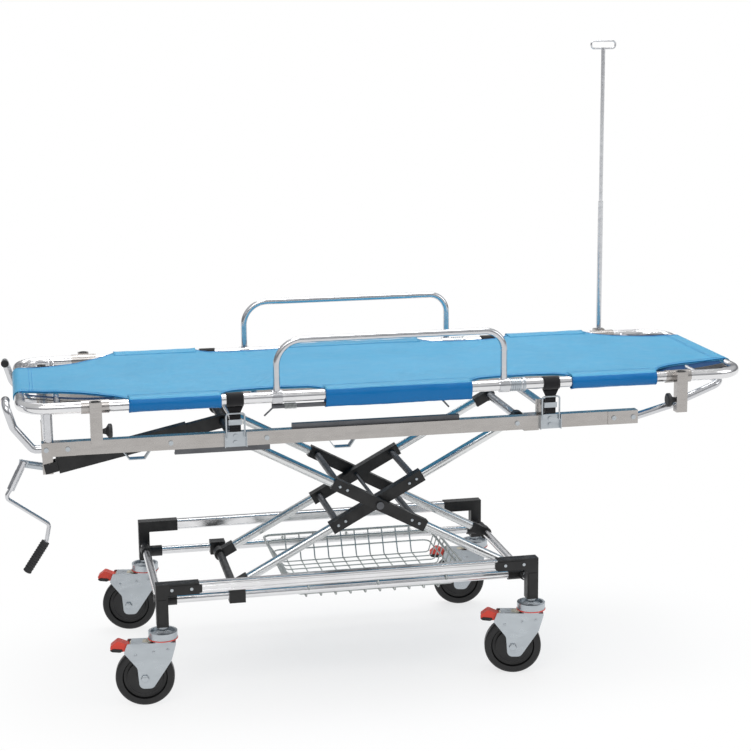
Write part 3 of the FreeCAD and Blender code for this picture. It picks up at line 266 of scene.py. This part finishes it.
def lathe(name, profile, place, axis, material, body, steps=32):
    """Turn radius and height pairs (mm) about an axis through a place (mm)."""
    turn = Vector(axis).to_track_quat("Z", "Y")
    points = []
    for radius, height in profile:
        for step in range(steps):
            angle = 2 * math.pi * step / steps
            local = Vector((radius * math.cos(angle), radius * math.sin(angle), height)) / 1000
            points.append(mm(*place) + turn @ local)
    faces = grid_faces(len(profile), steps, around=True)
    faces.append(tuple(range(steps)))
    faces.append(tuple(range((len(profile) - 1) * steps, len(profile) * steps)))
    thing = piece(name, points, faces, material, body)
    bevel = thing.modifiers.new("Edges", "BEVEL")
    bevel.width = 0.0004
    bevel.segments = 2
    bevel.limit_method = "ANGLE"
    return thing


def slab(name, outline, low, high, axis, material, body, bevel=0.8, turn=None):
    """A flat outline (mm) pushed between two levels, with eased edges."""
    def point(first, second, level):
        local = {"X": (level, first, second), "Y": (first, level, second), "Z": (first, second, level)}[axis]
        return turn(Vector(local)) if turn else mm(*local)
    count = len(outline)
    points = [point(a, b, low) for a, b in outline] + [point(a, b, high) for a, b in outline]
    faces = [tuple(range(count)), tuple(range(count, 2 * count))]
    faces += [(i, (i + 1) % count, count + (i + 1) % count, count + i) for i in range(count)]
    thing = piece(name, points, faces, material, body, smooth=False)
    eased = thing.modifiers.new("Edges", "BEVEL")
    eased.width = bevel / 1000
    eased.segments = 2
    eased.limit_method = "ANGLE"
    return thing


# ---------------------------------------------------------------- repeated work in node trees

def new_tree(name, sizes):
    tree = bpy.data.node_groups.new(name, "GeometryNodeTree")
    tree.interface.new_socket("Geometry", in_out="INPUT", socket_type="NodeSocketGeometry")
    for label, (kind, value) in sizes.items():
        socket = tree.interface.new_socket(label, in_out="INPUT", socket_type=kind)
        socket.default_value = value
    tree.interface.new_socket("Geometry", in_out="OUTPUT", socket_type="NodeSocketGeometry")
    source = tree.nodes.new("NodeGroupInput")
    target = tree.nodes.new("NodeGroupOutput")

    def add(kind, mode=None, **inputs):
        node = tree.nodes.new("GeometryNode" + kind)
        if mode:
            node.mode = mode
        for key, value in inputs.items():
            socket = node.inputs[key.replace("_", " ")]
            if hasattr(value, "is_output"):
                tree.links.new(value, socket)
            else:
                socket.default_value = value
        return node

    def close(geometry, material):
        real = add("RealizeInstances", Geometry=geometry)
        paint = add("SetMaterial", Geometry=real.outputs[0])
        paint.inputs["Material"].default_value = material
        tree.links.new(paint.outputs[0], target.inputs[0])
    return tree, source.outputs, add, close


def wire_tree(material):
    """A round wire along every path."""
    tree, sizes, add, close = new_tree("Wire " + material.name, {
        "Radius": ("NodeSocketFloat", 0.002), "Sides": ("NodeSocketInt", 10)})
    ring = add("CurvePrimitiveCircle", Radius=sizes["Radius"], Resolution=sizes["Sides"])
    wire = add("CurveToMesh", Curve=sizes["Geometry"], Profile_Curve=ring.outputs["Curve"])
    wire.inputs["Fill Caps"].default_value = True
    close(wire.outputs["Mesh"], material)
    return tree


def stitch_tree(material):
    """Short rounded stitches laid end to end along every path."""
    tree, sizes, add, close = new_tree("Stitches " + material.name, {
        "Spacing": ("NodeSocketFloat", 0.006), "Length": ("NodeSocketVector", (0.0007, 0.0007, 0.0019))})
    points = add("CurveToPoints", "LENGTH", Curve=sizes["Geometry"], Length=sizes["Spacing"])
    bead = add("MeshIcoSphere", Radius=1.0, Subdivisions=1)
    laid = add("InstanceOnPoints", Points=points.outputs["Points"], Instance=bead.outputs["Mesh"],
               Rotation=points.outputs["Rotation"], Scale=sizes["Length"])
    close(laid.outputs["Instances"], material)
    return tree


def stud_tree(material):
    """Domed rivet heads on points, all facing one way."""
    tree, sizes, add, close = new_tree("Studs " + material.name, {
        "Radius": ("NodeSocketFloat", 0.004), "Facing": ("NodeSocketVector", (0, 1, 0)),
        "Dome": ("NodeSocketVector", (1, 1, 0.5))})
    head = add("MeshUVSphere", Segments=16, Rings=8, Radius=sizes["Radius"])
    turn = tree.nodes.new("FunctionNodeAlignRotationToVector")
    turn.axis = "Z"
    tree.links.new(sizes["Facing"], turn.inputs["Vector"])
    laid = add("InstanceOnPoints", Points=sizes["Geometry"], Instance=head.outputs["Mesh"],
               Rotation=turn.outputs["Rotation"], Scale=sizes["Dome"])
    close(laid.outputs["Instances"], material)
    return tree


def run_tree(tree, data, name, material, body, slot, **inputs):
    """Evaluate a tree on raw data and keep the result as a plain mesh piece."""
    carrier = bpy.data.objects.new(name + " path", data)
    bpy.context.collection.objects.link(carrier)
    work = carrier.modifiers.new("Made", "NODES")
    work.node_group = tree
    for socket in tree.interface.items_tree:
        if socket.in_out == "INPUT" and socket.name in inputs:
            work[socket.identifier] = inputs[socket.name]
    bpy.context.view_layer.update()
    mesh = bpy.data.meshes.new_from_object(carrier.evaluated_get(bpy.context.evaluated_depsgraph_get()))
    carrier.modifiers.clear()
    bpy.data.objects.remove(carrier)
    mesh.name = name
    return finished(name, mesh, material, body)


def paths(runs, closed=False):
    """Poly curves through lists of points, as one curve block."""
    curve = bpy.data.curves.new("Paths", "CURVE")
    curve.dimensions = "3D"
    for run in runs:
        spline = curve.splines.new("POLY")
        spline.points.add(len(run) - 1)
        for point, place in zip(spline.points, run):
            point.co = (*place, 1)
        spline.use_cyclic_u = closed
    return curve


def dots(places):
    mesh = bpy.data.meshes.new("Places")
    mesh.from_pydata([tuple(place) for place in places], [], [])
    return mesh


WIRES = wire_tree(WIRE)
HEM_WIRES = wire_tree(SLEEVE_BLUE)
STITCHES = stitch_tree(THREAD)
BLACK_STITCHES = stitch_tree(WEBBING)
ZINC_STUDS = stud_tree(ZINC)
PEDAL_RIBS = stitch_tree(RED)
GRIP_RINGS = wire_tree(BLACK_GRIP)


# ---------------------------------------------------------------- blue bed

OUTLINE = ((FOOT_X, 152), (-760, 158), (-711, 170), (-660, 196), (-620, 228), (-585, 262), (-562, 290),
           (-551, TUBE_Y), (-324, TUBE_Y), (-312, 284), (-290, 266), (-240, 258), (-146, 258), (-96, 266),
           (-74, 284), (-62, TUBE_Y), (316, TUBE_Y), (328, 284), (350, 266), (400, 258), (500, 258),
           (549, 266), (571, 284), (583, TUBE_Y), (812, TUBE_Y), (822, 288), (842, 256), (880, 226),
           (932, 206), (985, 192), (HEAD_X, 181))


def half_width(x):
    for (low, first), (high, second) in zip(OUTLINE, OUTLINE[1:]):
        if x <= high:
            share = (x - low) / (high - low)
            return first + (second - first) * max(0.0, min(1.0, share))
    return OUTLINE[-1][1]


def creases(x, y):
    """Slanting pull marks in the cloth beside the strap gaps, on both sides of the bed."""
    height = 0.0
    for middle in (-195.0, 455.0):
        near = math.exp(-((x - middle) / 46) ** 2 - ((abs(y) - 190) / 62) ** 2)
        height += 0.9 * near * math.cos(2 * math.pi * (x + 0.55 * abs(y)) / 27)
    return height


def bed_height(x, y):
    """Height of the stretched cloth: near the tubes it lies on them, between it gives a little."""
    across = abs(y) / TUBE_Y
    sag = 3.2 * (1 - across ** 4)
    end = min(abs(x - FOOT_X), abs(x - HEAD_X)) / 60
    sag *= min(1.0, end)
    ripple = noise.noise(Vector((x / 130, y / 34, 1.7))) * 1.1 * across ** 2
    ripple += noise.noise(Vector((x / 38, y / 190, 5.1))) * 0.6
    return TUBE_Z + TUBE_R + 3.0 - sag + ripple * min(1.0, end) + creases(x, y)


def stations():
    """Places along the bed, close together where the outline turns."""
    marks = sorted({x for x, _ in OUTLINE})
    places = []
    for low, high in zip(marks, marks[1:]):
        steps = max(2, int((high - low) / 6))
        places += [low + (high - low) * step / steps for step in range(steps)]
    return places + [marks[-1]]


def bed_sheet():
    """One sheet from the foot bow to the head bow, wrapped under both."""
    across = 81
    radius = TUBE_R + 2.6
    rows = []
    for angle in range(215, 0, -12):
        turn = math.radians(angle)
        half = half_width(FOOT_X) - 3 * math.sin(turn / 2)
        rows.append([(FOOT_X - radius * math.sin(turn), half * (2 * i / (across - 1) - 1),
                      TUBE_Z + radius * math.cos(turn)) for i in range(across)])
    for x in stations():
        half = half_width(x)
        row = []
        for index in range(across):
            share = 2 * index / (across - 1) - 1
            share = math.copysign(abs(share) ** 0.85, share)
            y = half * share
            hem = max(0.0, abs(share) - 0.965) / 0.035
            drop = 0.0 if half > TUBE_Y - 16 else 5.0 * hem ** 2
            row.append((x, y, bed_height(x, y) - drop))
        rows.append(row)
    for angle in range(12, 216, 12):
        turn = math.radians(angle)
        half = half_width(HEAD_X) - 3 * math.sin(turn / 2)
        rows.append([(HEAD_X + radius * math.sin(turn), half * (2 * i / (across - 1) - 1),
                      TUBE_Z + radius * math.cos(turn)) for i in range(across)])
    points = [mm(*point) for row in rows for point in row]
    # The whole sheet takes the blue that is painted lighter as overhead sheen.
    thing = piece("bed_cloth", points, grid_faces(len(rows), across), OVERHEAD_LIT_BLUE, "litter")
    thicken(thing, 0.0016)
    return thing


def sleeve_section(lift, rod_room):
    """Loop of cloth round the main tube, from the seam over the tube and back under it."""
    seam = TUBE_Y - 40
    ring = TUBE_R + 2.8 + lift
    section = [(seam, 801.6), (seam + 14, 803.0)]
    for angle in range(100, -171, -12):
        turn = math.radians(angle)
        y, z = TUBE_Y + ring * math.cos(turn), TUBE_Z + ring * math.sin(turn)
        if rod_room and math.sin(turn) < -0.2:
            z -= 12.5 * min(1.0, (-math.sin(turn) - 0.2) * 1.6)
        section.append((y, z))
    section += [(seam + 18, 795.0 - 0.5 * rod_room), (seam, 799.4)]
    return section


def sleeve(tag, side, index, low, high):
    rod_room = index == 1
    steps = max(12, int((high - low) / 7))
    points, rings, count = [], steps + 1, 0
    for step in range(rings):
        x = low + (high - low) * step / steps
        ends = min(x - low, high - x)
        lift = 0.7 + 0.9 * math.exp(-ends / 6.0)
        section = sleeve_section(lift, rod_room)
        count = len(section)
        for number, (y, z) in enumerate(section):
            crease = noise.noise(Vector((x / 42 + index * 9, number / 2.2, side * 3.0 + 0.4))) * 1.1
            pull = noise.noise(Vector((x / 14, number / 9, 2.0 + side))) * 0.5
            lean = 1.0 if 2 <= number < count - 2 else 0.2
            out = Vector((y - TUBE_Y, z - TUBE_Z)).normalized() * max(-0.6, (crease + pull)) * lean
            points.append(mm(x, side * (y + out.x), z + out.y))
    thing = piece(f"sleeve_{tag}_{index}", points, grid_faces(rings, count), SLEEVE_BLUE,
                  "litter")
    # Faces high on the sleeve take the lighter bed blue: a painted highlight of the overhead light on the
    # sleeve's top, and the rest keeps the cloth's own blue.
    thing.data.materials.append(OVERHEAD_LIT_BLUE)
    lit_above = mm(0, 0, TUBE_Z + 0.82 * (TUBE_R + 3)).z
    for face in thing.data.polygons:
        face.material_index = int(face.center.z > lit_above)
    thicken(thing, 0.0015, 1.0)
    return thing


def along_bed(inset, low, high, side, lift=1.4, step=6.0):
    """Points just above the cloth, a fixed distance inside its edge."""
    count = max(2, int((high - low) / step))
    run = []
    for index in range(count + 1):
        x = low + (high - low) * index / count
        y = side * (half_width(x) - inset)
        run.append(mm(x, y, bed_height(x, y) + lift))
    return run


def bed_seams():
    """Rolled hems along the free edges and two rows of stitching inside each of them."""
    hems, rows = [], []
    gaps = ((FOOT_X, -553), (-322, -64), (318, 581), (814, HEAD_X))
    for _, side in SIDES:
        for low, high in gaps:
            hems.append(along_bed(1.5, low, high, side, -1.5))
            rows.append(along_bed(9, low, high, side, 0.7))
            rows.append(along_bed(16, low, high, side, 0.7))
        for low, high in SLEEVES:
            for inset in (34, 40):
                rows.append(along_bed(inset, low + 2, high - 2, side, 0.9))
            for edge in (low + 7, high - 7):
                rows.append([mm(edge, side * (TUBE_Y + 17.9 * math.cos(turn)),
                                TUBE_Z + 17.9 * math.sin(turn))
                             for turn in [math.radians(angle) for angle in range(90, -40, -8)]])
    for x in (FOOT_X + 26, FOOT_X + 33, HEAD_X - 26, HEAD_X - 33):
        half = half_width(x) - 8
        rows.append([mm(x, half * step / 20, bed_height(x, half * step / 20) + 0.7)
                     for step in range(-20, 21)])
    run_tree(HEM_WIRES, paths(hems), "bed_hems", SLEEVE_BLUE, "litter", "blue_fabric", Radius=0.0013)
    run_tree(STITCHES, paths(rows), "bed_stitches", THREAD, "litter", "blue_fabric")


def strip_between(name, start, end, width, material, sag=0.0, lean=0.0):
    """Flat webbing from one place to another, with sewn edges and a little sag."""
    start, end = Vector(start), Vector(end)
    along = (end - start).normalized()
    side = along.cross(Vector((0, 0, 1))).normalized()
    side = (side + Vector((0, 0, lean))).normalized()
    points = []
    steps = 24
    for step in range(steps + 1):
        share = step / steps
        middle = start.lerp(end, share) - Vector((0, 0, sag * math.sin(math.pi * share)))
        for index in range(7):
            across = (index / 3 - 1) * width / 2
            ridge = 0.35 * math.cos(index * math.pi / 3 * 2)
            place = middle + side * across + Vector((0, 0, ridge))
            points.append(mm(*place))
    thing = piece(name, points, grid_faces(steps + 1, 7), material, "litter")
    return thicken(thing, 0.0016, 0.0)


def corner_lacing():
    """Webbing and a folded return of the cloth that pull the bed's corners to the loop."""
    for tag, side in SIDES:
        spots = (("foot", -795, 178, -566, 278), ("head", 1041, 206, 830, 280))
        for end, x0, y0, x1, y1 in spots:
            strip_between(f"lacing_{end}_{tag}", (x0, side * (y0 + 18), 793), (x1, side * (y1 + 6), 792), 22,
                          WEBBING, 4, 0.25)
            # The folded return is drawn in the blue painted dark, as shade under the bed.
            strip_between(f"return_{end}_{tag}", (x0, side * (y0 - 14), 794), (x1, side * (y1 - 26), 794), 34,
                          SHADE_PAINTED_BLUE, 5, 0.35)


bed = bed_sheet()
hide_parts("fabric_panel")
for tag, side in SIDES:
    for index, (low, high) in enumerate(SLEEVES):
        sleeve(tag, side, index, low, high)
bed_seams()
corner_lacing()


# ---------------------------------------------------------------- straps at the bails

def strap(tag, x, side):
    """Webbing band round the main tube; its doubled stem hangs through the wire bail."""
    width, stem = 43.0, 28.0
    ring = TUBE_R + 2.2
    section = []
    for angle in range(250, -91, -10):
        turn = math.radians(angle)
        section.append((TUBE_Y + ring * math.cos(turn), TUBE_Z + ring * math.sin(turn), width))
    for step in range(9):
        share = step / 8
        section.append((TUBE_Y + 1.5, TUBE_Z - ring - 1 - (TUBE_Z - ring - 706) * share,
                        width + (stem - width) * min(1.0, share * 4)))
    points = []
    for y, z, wide in section:
        for index in range(9):
            across = (index / 4 - 1) * wide / 2
            points.append(mm(x + across, side * (y + 0.25 * math.cos(index * math.pi)), z))
    thing = piece(f"strap_{tag}", points, grid_faces(len(section), 9), WEBBING, "litter")
    thicken(thing, 0.0022, 0.0)
    rows = []
    for inset in (-stem / 2 + 4, stem / 2 - 4):
        rows.append([mm(x + inset, side * (TUBE_Y + 3.2), z) for z in range(757, 709, -4)])
    for z in (757, 745, 716):
        rows.append([mm(x + across, side * (TUBE_Y + 3.2), z) for across in range(-10, 11, 4)])
    run_tree(BLACK_STITCHES, paths(rows), f"strap_seams_{tag}", WEBBING, "litter", "black_webbing")
    return thing


def buckle(tag, x, side):
    """Steel slide buckle on the strap's stem."""
    outer = [(x - 17, 722), (x + 17, 722), (x + 17, 736), (x - 17, 736)]
    low, high = sorted((side * (TUBE_Y + 3.4), side * (TUBE_Y + 5.2)))
    slab(f"buckle_{tag}", outer, low, high, "Y", ZINC, "litter", 0.6)


BAILS = (("foot_right", -290, -1), ("head_right", 528, -1), ("foot_left", -290, 1), ("head_left", 528, 1))
first_strap = None
for tag, x, side in BAILS:
    band = strap(tag, x, side)
    first_strap = first_strap or band
    buckle(tag, x, side)
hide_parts("litter_straps")


# ---------------------------------------------------------------- wire basket

def basket():
    """Welded wire basket that hangs on the slide tubes."""
    foot, head, side = -157.0, 329.0, 200.0
    rim, floor = 277.0, 210.0
    taper_foot, taper_head, taper_side = 42.0, 18.0, 35.0

    def ring(z, grow=0.0):
        share = (rim - z) / (rim - floor)
        x0, x1 = foot + taper_foot * share - grow, head - taper_head * share + grow
        y1 = side - taper_side * share + grow
        corner = 22
        run = []
        for cx, cy, start in ((x1 - corner, y1 - corner, 0), (x0 + corner, y1 - corner, 90),
                              (x0 + corner, -y1 + corner, 180), (x1 - corner, -y1 + corner, 270)):
            for step in range(7):
                turn = math.radians(start + step * 15)
                run.append(mm(cx + corner * math.cos(turn), cy + corner * math.sin(turn), z))
        return run

    thick = [ring(rim, 0.0), ring(262.0, 0.5)]
    thin = [ring(238.0)]
    across, along = [], []
    x = foot + taper_foot + 20
    while x < head - taper_head - 10:
        run = []
        for y, z in ((-side, rim), (-side + taper_side, floor + 3), (-side + taper_side + 8, floor),
                     (side - taper_side - 8, floor), (side - taper_side, floor + 3), (side, rim)):
            run.append(mm(x, y, z))
        across.append(run)
        x += 40
    for share in range(-4, 5):
        y = share * 36.0
        low_end, high_end = foot + taper_foot, head - taper_head
        along.append([mm(foot, y, rim), mm(low_end, y, floor + 6), mm(low_end + 8, y, floor + 3),
                      mm(high_end - 8, y, floor + 3), mm(high_end, y, floor + 6), mm(head, y, rim)])
    hooks = []
    for share in (0.12, 0.5, 0.88):
        x = foot + share * (head - foot)
        for hand in (-1, 1):
            hooks.append([mm(x, hand * (side - 8), 262), mm(x, hand * (side + 1), 264.5),
                          mm(x, hand * 215, 265), mm(x, hand * 226, 262), mm(x, hand * 229.5, 252)])
    shell = run_tree(WIRES, paths(thick, closed=True), "basket_rim", WIRE, "base_frame", "basket_wire",
                     Radius=0.0034, Sides=12)
    run_tree(WIRES, paths(thin, closed=True), "basket_band", WIRE, "base_frame", "basket_wire", Radius=0.0022)
    run_tree(WIRES, paths(across + along), "basket_wires", WIRE, "base_frame", "basket_wire",
             Radius=0.0019, Sides=8)
    run_tree(WIRES, paths(hooks), "basket_hooks", WIRE, "base_frame", "basket_wire", Radius=0.003)
    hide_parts("basket")


basket()


# ---------------------------------------------------------------- caster trim

def caster_trim(tag, end, side, angle):
    """Dust ring, brake plate, axle nuts, hub and pedal foot of one caster."""
    centre = Vector((end * 486.0, side * 288.0, 0))
    spin = Matrix.Rotation(math.radians(angle), 4, "Z")

    def at(local):
        place = centre + spin @ Vector(local)
        return (place.x, place.y, place.z)

    fork, wheel, pedal = f"fork_{tag}", f"wheel_{tag}", f"pedal_{tag}"
    lathe(f"dust_ring_{tag}", [(34, 0), (38.2, 0.4), (38.4, 2.6), (34, 3)], at((0, 0, 174.2)),
          (0, 0, 1), RED, fork, 48)
    sideways = spin @ Vector((0, 1, 0))
    for cheek, hand in SIDES:
        axis = sideways * hand
        lathe(f"axle_nut_{tag}_{cheek}", [(10.4, 0), (10.4, 4), (9.2, 5.2), (0.5, 5.6)],
              at((-48, hand * 22.2, 75)), axis, ZINC, fork, 6)
        lathe(f"hub_cover_{tag}_{cheek}",
              [(46, 0), (45.4, 1.0), (43, 1.0), (42, 0.3), (24, 0.5), (22, 2.0), (12, 2.4), (7.4, 0.4)],
              at((-48, hand * 16.05, 75)), axis, TYRE, wheel, 48)
    outline = [(-88, 158), (-84, 166), (-44, 168.5), (-36, 171.5), (-34, 176), (-30, 176), (-30, 169),
               (-38, 165), (-80, 161)]
    slab(f"brake_plate_{tag}", outline, -12, 12, "Y", WARM_ZINC, fork, 0.6,
         turn=lambda local: mm(*at(local)))
    foot = [(-134, 150), (-128, 146), (-108, 144), (-101, 148), (-104, 153), (-126, 155)]
    slab(f"pedal_foot_{tag}", foot, -15.5, 15.5, "Y", BLACK, pedal, 1.2,
         turn=lambda local: mm(*at(local)))
    ribs = [[mm(*at((x, y, 172.6 - 0.62 * abs(x + 114)))) for y in (-11, 11)] for x in (-126, -121, -116)]
    run_tree(PEDAL_RIBS, paths(ribs), f"pedal_ribs_{tag}", RED, pedal, "red_plastic", Spacing=0.003)
    rivets = [mm(*at((x, 0, z))) + sideways * 0.0223 * hand for hand in (-1, 1)
              for x, z in ((12, 150), (-24, 145), (-70, 138))]
    run_tree(ZINC_STUDS, dots(rivets), f"fork_rivets_{tag}", ZINC, fork, "zinc_steel", Radius=0.0036,
             Facing=tuple(sideways))


for tag, end, side, angle in CASTERS:
    caster_trim(tag, end, side, angle)


# ---------------------------------------------------------------- small hardware

def leg_hardware():
    """Rivets on the leg sleeves and end joints."""
    slope = math.atan2(207.0, 386.0)
    for letter, lateral, root, lean in (("a", 192.2, 486.0, -1), ("b", 162.2, -286.0, 1)):
        along = Vector((lean * math.cos(slope), 0, math.sin(slope)))
        start = Vector((root, 0, 250.0))
        spots = []
        for side in (-1, 1):
            for out in (34, 318, 340, 536, 558, 842):
                place = start + along * out
                spots.append(mm(place.x, side * lateral, place.z))
        run_tree(ZINC_STUDS, dots(spots), f"leg_{letter}_rivets", ZINC, f"leg_{letter}", "zinc_steel",
                 Radius=0.0042)


def grip_ribs():
    """Rings round the crank's grip."""
    start, end = Vector((-763.8, 0, 361.9)), Vector((-813.6, 0, 287.1))
    axis = (end - start).normalized()
    cross = axis.cross(Vector((0, 1, 0))).normalized()
    rings = []
    for index in range(11):
        middle = start.lerp(end, 0.10 + 0.08 * index)
        rings.append([mm(*(middle + cross * 11.1 * math.cos(t) + Vector((0, 1, 0)) * 11.1 * math.sin(t)))
                      for t in [math.radians(a) for a in range(0, 360, 20)]])
    run_tree(GRIP_RINGS, paths(rings, closed=True), "grip_ribs", BLACK_GRIP, "crank_grip",
             "black_plastic", Radius=0.0011, Sides=8)
    lathe("grip_cap", [(11.4, 0), (11.8, 2), (11.2, 4.5), (7, 6.2), (0.5, 6.6)], (-813.4, 0, 287.4), axis,
          BLACK_GRIP, "crank_grip")


def tube_caps():
    """Black push-in caps on the ends of the foot handles and socket tops."""
    for tag, side in SIDES:
        lathe(f"handle_cap_{tag}", [(10.6, 0), (10.8, 1.5), (10.4, 5), (8, 7), (0.5, 7.6)],
              (-847, side * 241.5, 799.6), (0, -side, 0.05), BLACK, "upper_frame")
    for name, x, side in (("foot_right", -633, -1), ("foot_left", -633, 1), ("head_right", 874, -1)):
        lathe(f"socket_rim_{name}", [(7.6, -2), (7.6, 1.2), (9.6, 1.8), (11.2, 1.2), (11.4, 0.1), (8, 0)],
              (x, side * 329, 804), (0, 0, 1), BLACK, "litter", 28)


def release_springs():
    """Coil springs on the release rods, near the foot-end lever."""
    for tag, side in SIDES:
        run = []
        turns, steps = 9, 14
        for index in range(turns * steps + 1):
            turn = 2 * math.pi * index / steps
            run.append(mm(-166 + 3.4 * index / steps, side * TUBE_Y + 7.4 * math.cos(turn),
                          763.2 + 7.4 * math.sin(turn)))
        run_tree(WIRES, paths([run]), f"release_spring_{tag}", WIRE, "litter", "zinc_steel",
                 Radius=0.0009, Sides=6)


def corner_caps():
    """Raised pads on the black corner brackets and on their posts."""
    for name, x, sign in (("foot", -486, 1), ("head", 486, -1)):
        for tag, side in SIDES:
            low, high = sorted((side * 302.6, side * 304.6))
            arm = [(x + sign * 22, 291), (x + sign * 99, 291), (x + sign * 102, 294), (x + sign * 102, 310),
                   (x + sign * 99, 313), (x + sign * 22, 313)]
            slab(f"corner_pad_{name}_{tag}", arm, low, high, "Y", BLACK, "base_frame", 0.7)
            post = [(x - 11, 214), (x + 11, 214), (x + 11, 278), (x - 11, 278)]
            slab(f"post_pad_{name}_{tag}", post, low, high, "Y", BLACK, "base_frame", 0.7)


leg_hardware()
grip_ribs()
tube_caps()
release_springs()
corner_caps()


# ---------------------------------------------------------------- stage, light and camera

def stage():
    mesh = bpy.data.meshes.new("floor")
    mesh.from_pydata([(-40, -40, 0), (40, -40, 0), (40, 60, 0), (-40, 60, 0)], [], [(0, 1, 2, 3)])
    floor = bpy.data.objects.new("floor", mesh)
    bpy.context.collection.objects.link(floor)
    finish = Finish("pale floor", (0.93, 0.93, 0.93), roughness=0.75)
    finish.tint(finish.span(finish.noise(0.6, 2), 0, 0.3), (0.90, 0.90, 0.905))
    away = finish.nodes.new("ShaderNodeVectorMath")
    away.operation = "LENGTH"
    finish.links.new(finish.mapped((0.75, 1.0, 1)), away.inputs[0])
    glow = finish.span(away.outputs["Value"], 0.62, 1.0, 0.15, 0.95)
    white = finish.nodes.new("ShaderNodeEmission")
    white.inputs["Strength"].default_value = 1.0
    blend = finish.nodes.new("ShaderNodeMixShader")
    finish.links.new(glow, blend.inputs["Fac"])
    finish.links.new(finish.shader.outputs[0], blend.inputs[1])
    finish.links.new(white.outputs[0], blend.inputs[2])
    finish.links.new(blend.outputs[0], finish.nodes["Material Output"].inputs["Surface"])
    mesh.materials.append(finish.material)


def light(name, place, target, size, power, colour=(1, 1, 1)):
    data = bpy.data.lights.new(name, "AREA")
    data.shape = "RECTANGLE"
    data.size, data.size_y = size
    data.energy = power
    data.color = colour
    lamp = bpy.data.objects.new(name, data)
    lamp.location = place
    lamp.rotation_euler = (Vector(target) - Vector(place)).to_track_quat("-Z", "Y").to_euler()
    bpy.context.collection.objects.link(lamp)


def surroundings():
    """White studio whose walls are darker near the floor, so tubes show dark and bright bands."""
    world = bpy.data.worlds.new("studio")
    bpy.context.scene.world = world
    world.use_nodes = True
    nodes, links = world.node_tree.nodes, world.node_tree.links
    back = nodes["Background"]
    place = nodes.new("ShaderNodeTexCoord")
    split = nodes.new("ShaderNodeSeparateXYZ")
    ramp = nodes.new("ShaderNodeValToRGB")
    links.new(place.outputs["Generated"], split.inputs[0])
    links.new(split.outputs["Z"], ramp.inputs["Fac"])
    stops = ramp.color_ramp.elements
    stops[0].position, stops[0].color = 0.0, (0.30, 0.30, 0.31, 1)
    stops[1].position, stops[1].color = 0.75, (1, 1, 1, 1)
    middle = stops.new(0.22)
    middle.color = (0.36, 0.37, 0.39, 1)
    upper = stops.new(0.38)
    upper.color = (0.90, 0.91, 0.93, 1)
    path = nodes.new("ShaderNodeLightPath")
    white = nodes.new("ShaderNodeBackground")
    white.inputs["Strength"].default_value = 1.0
    white.inputs["Color"].default_value = (1, 1, 1, 1)
    mix = nodes.new("ShaderNodeMixShader")
    links.new(ramp.outputs["Color"], back.inputs["Color"])
    back.inputs["Strength"].default_value = 0.62
    links.new(path.outputs["Is Camera Ray"], mix.inputs["Fac"])
    links.new(back.outputs[0], mix.inputs[1])
    links.new(white.outputs[0], mix.inputs[2])
    links.new(mix.outputs[0], nodes["World Output"].inputs["Surface"])


def camera():
    yaw, pitch, roll = (math.radians(angle) for angle in (11.722, 11.64, -0.508))
    ahead = Vector((math.sin(yaw) * math.cos(pitch), math.cos(yaw) * math.cos(pitch), -math.sin(pitch)))
    right = Vector((math.cos(yaw), -math.sin(yaw), 0))
    up = right.cross(ahead)
    across = right * math.cos(roll) + up * math.sin(roll)
    upward = up * math.cos(roll) - right * math.sin(roll)
    data = bpy.data.cameras.new("camera")
    data.lens = 84.12
    data.sensor_width = 36
    data.clip_end = 200
    eye = bpy.data.objects.new("camera", data)
    turn = Matrix((across, upward, -ahead)).transposed().to_4x4()
    eye.matrix_world = Matrix.Translation(mm(-811.6, -4541.9, 1720.8)) @ turn
    bpy.context.collection.objects.link(eye)
    bpy.context.scene.camera = eye


stage()
surroundings()
light("key", (-1.5, -3.2, 4.2), (0, 0, 0.6), (3.0, 2.0), 56)
light("overhead", (0.3, 0.6, 4.6), (0.1, 0, 0.8), (3.2, 1.6), 98)
light("fill", (3.4, -1.5, 2.6), (0, 0, 0.6), (2.2, 2.2), 26)
light("rim", (0.5, 3.6, 3.4), (0, 0, 0.7), (3.5, 1.5), 30)
camera()
bpy.context.scene.view_settings.view_transform = "Standard"
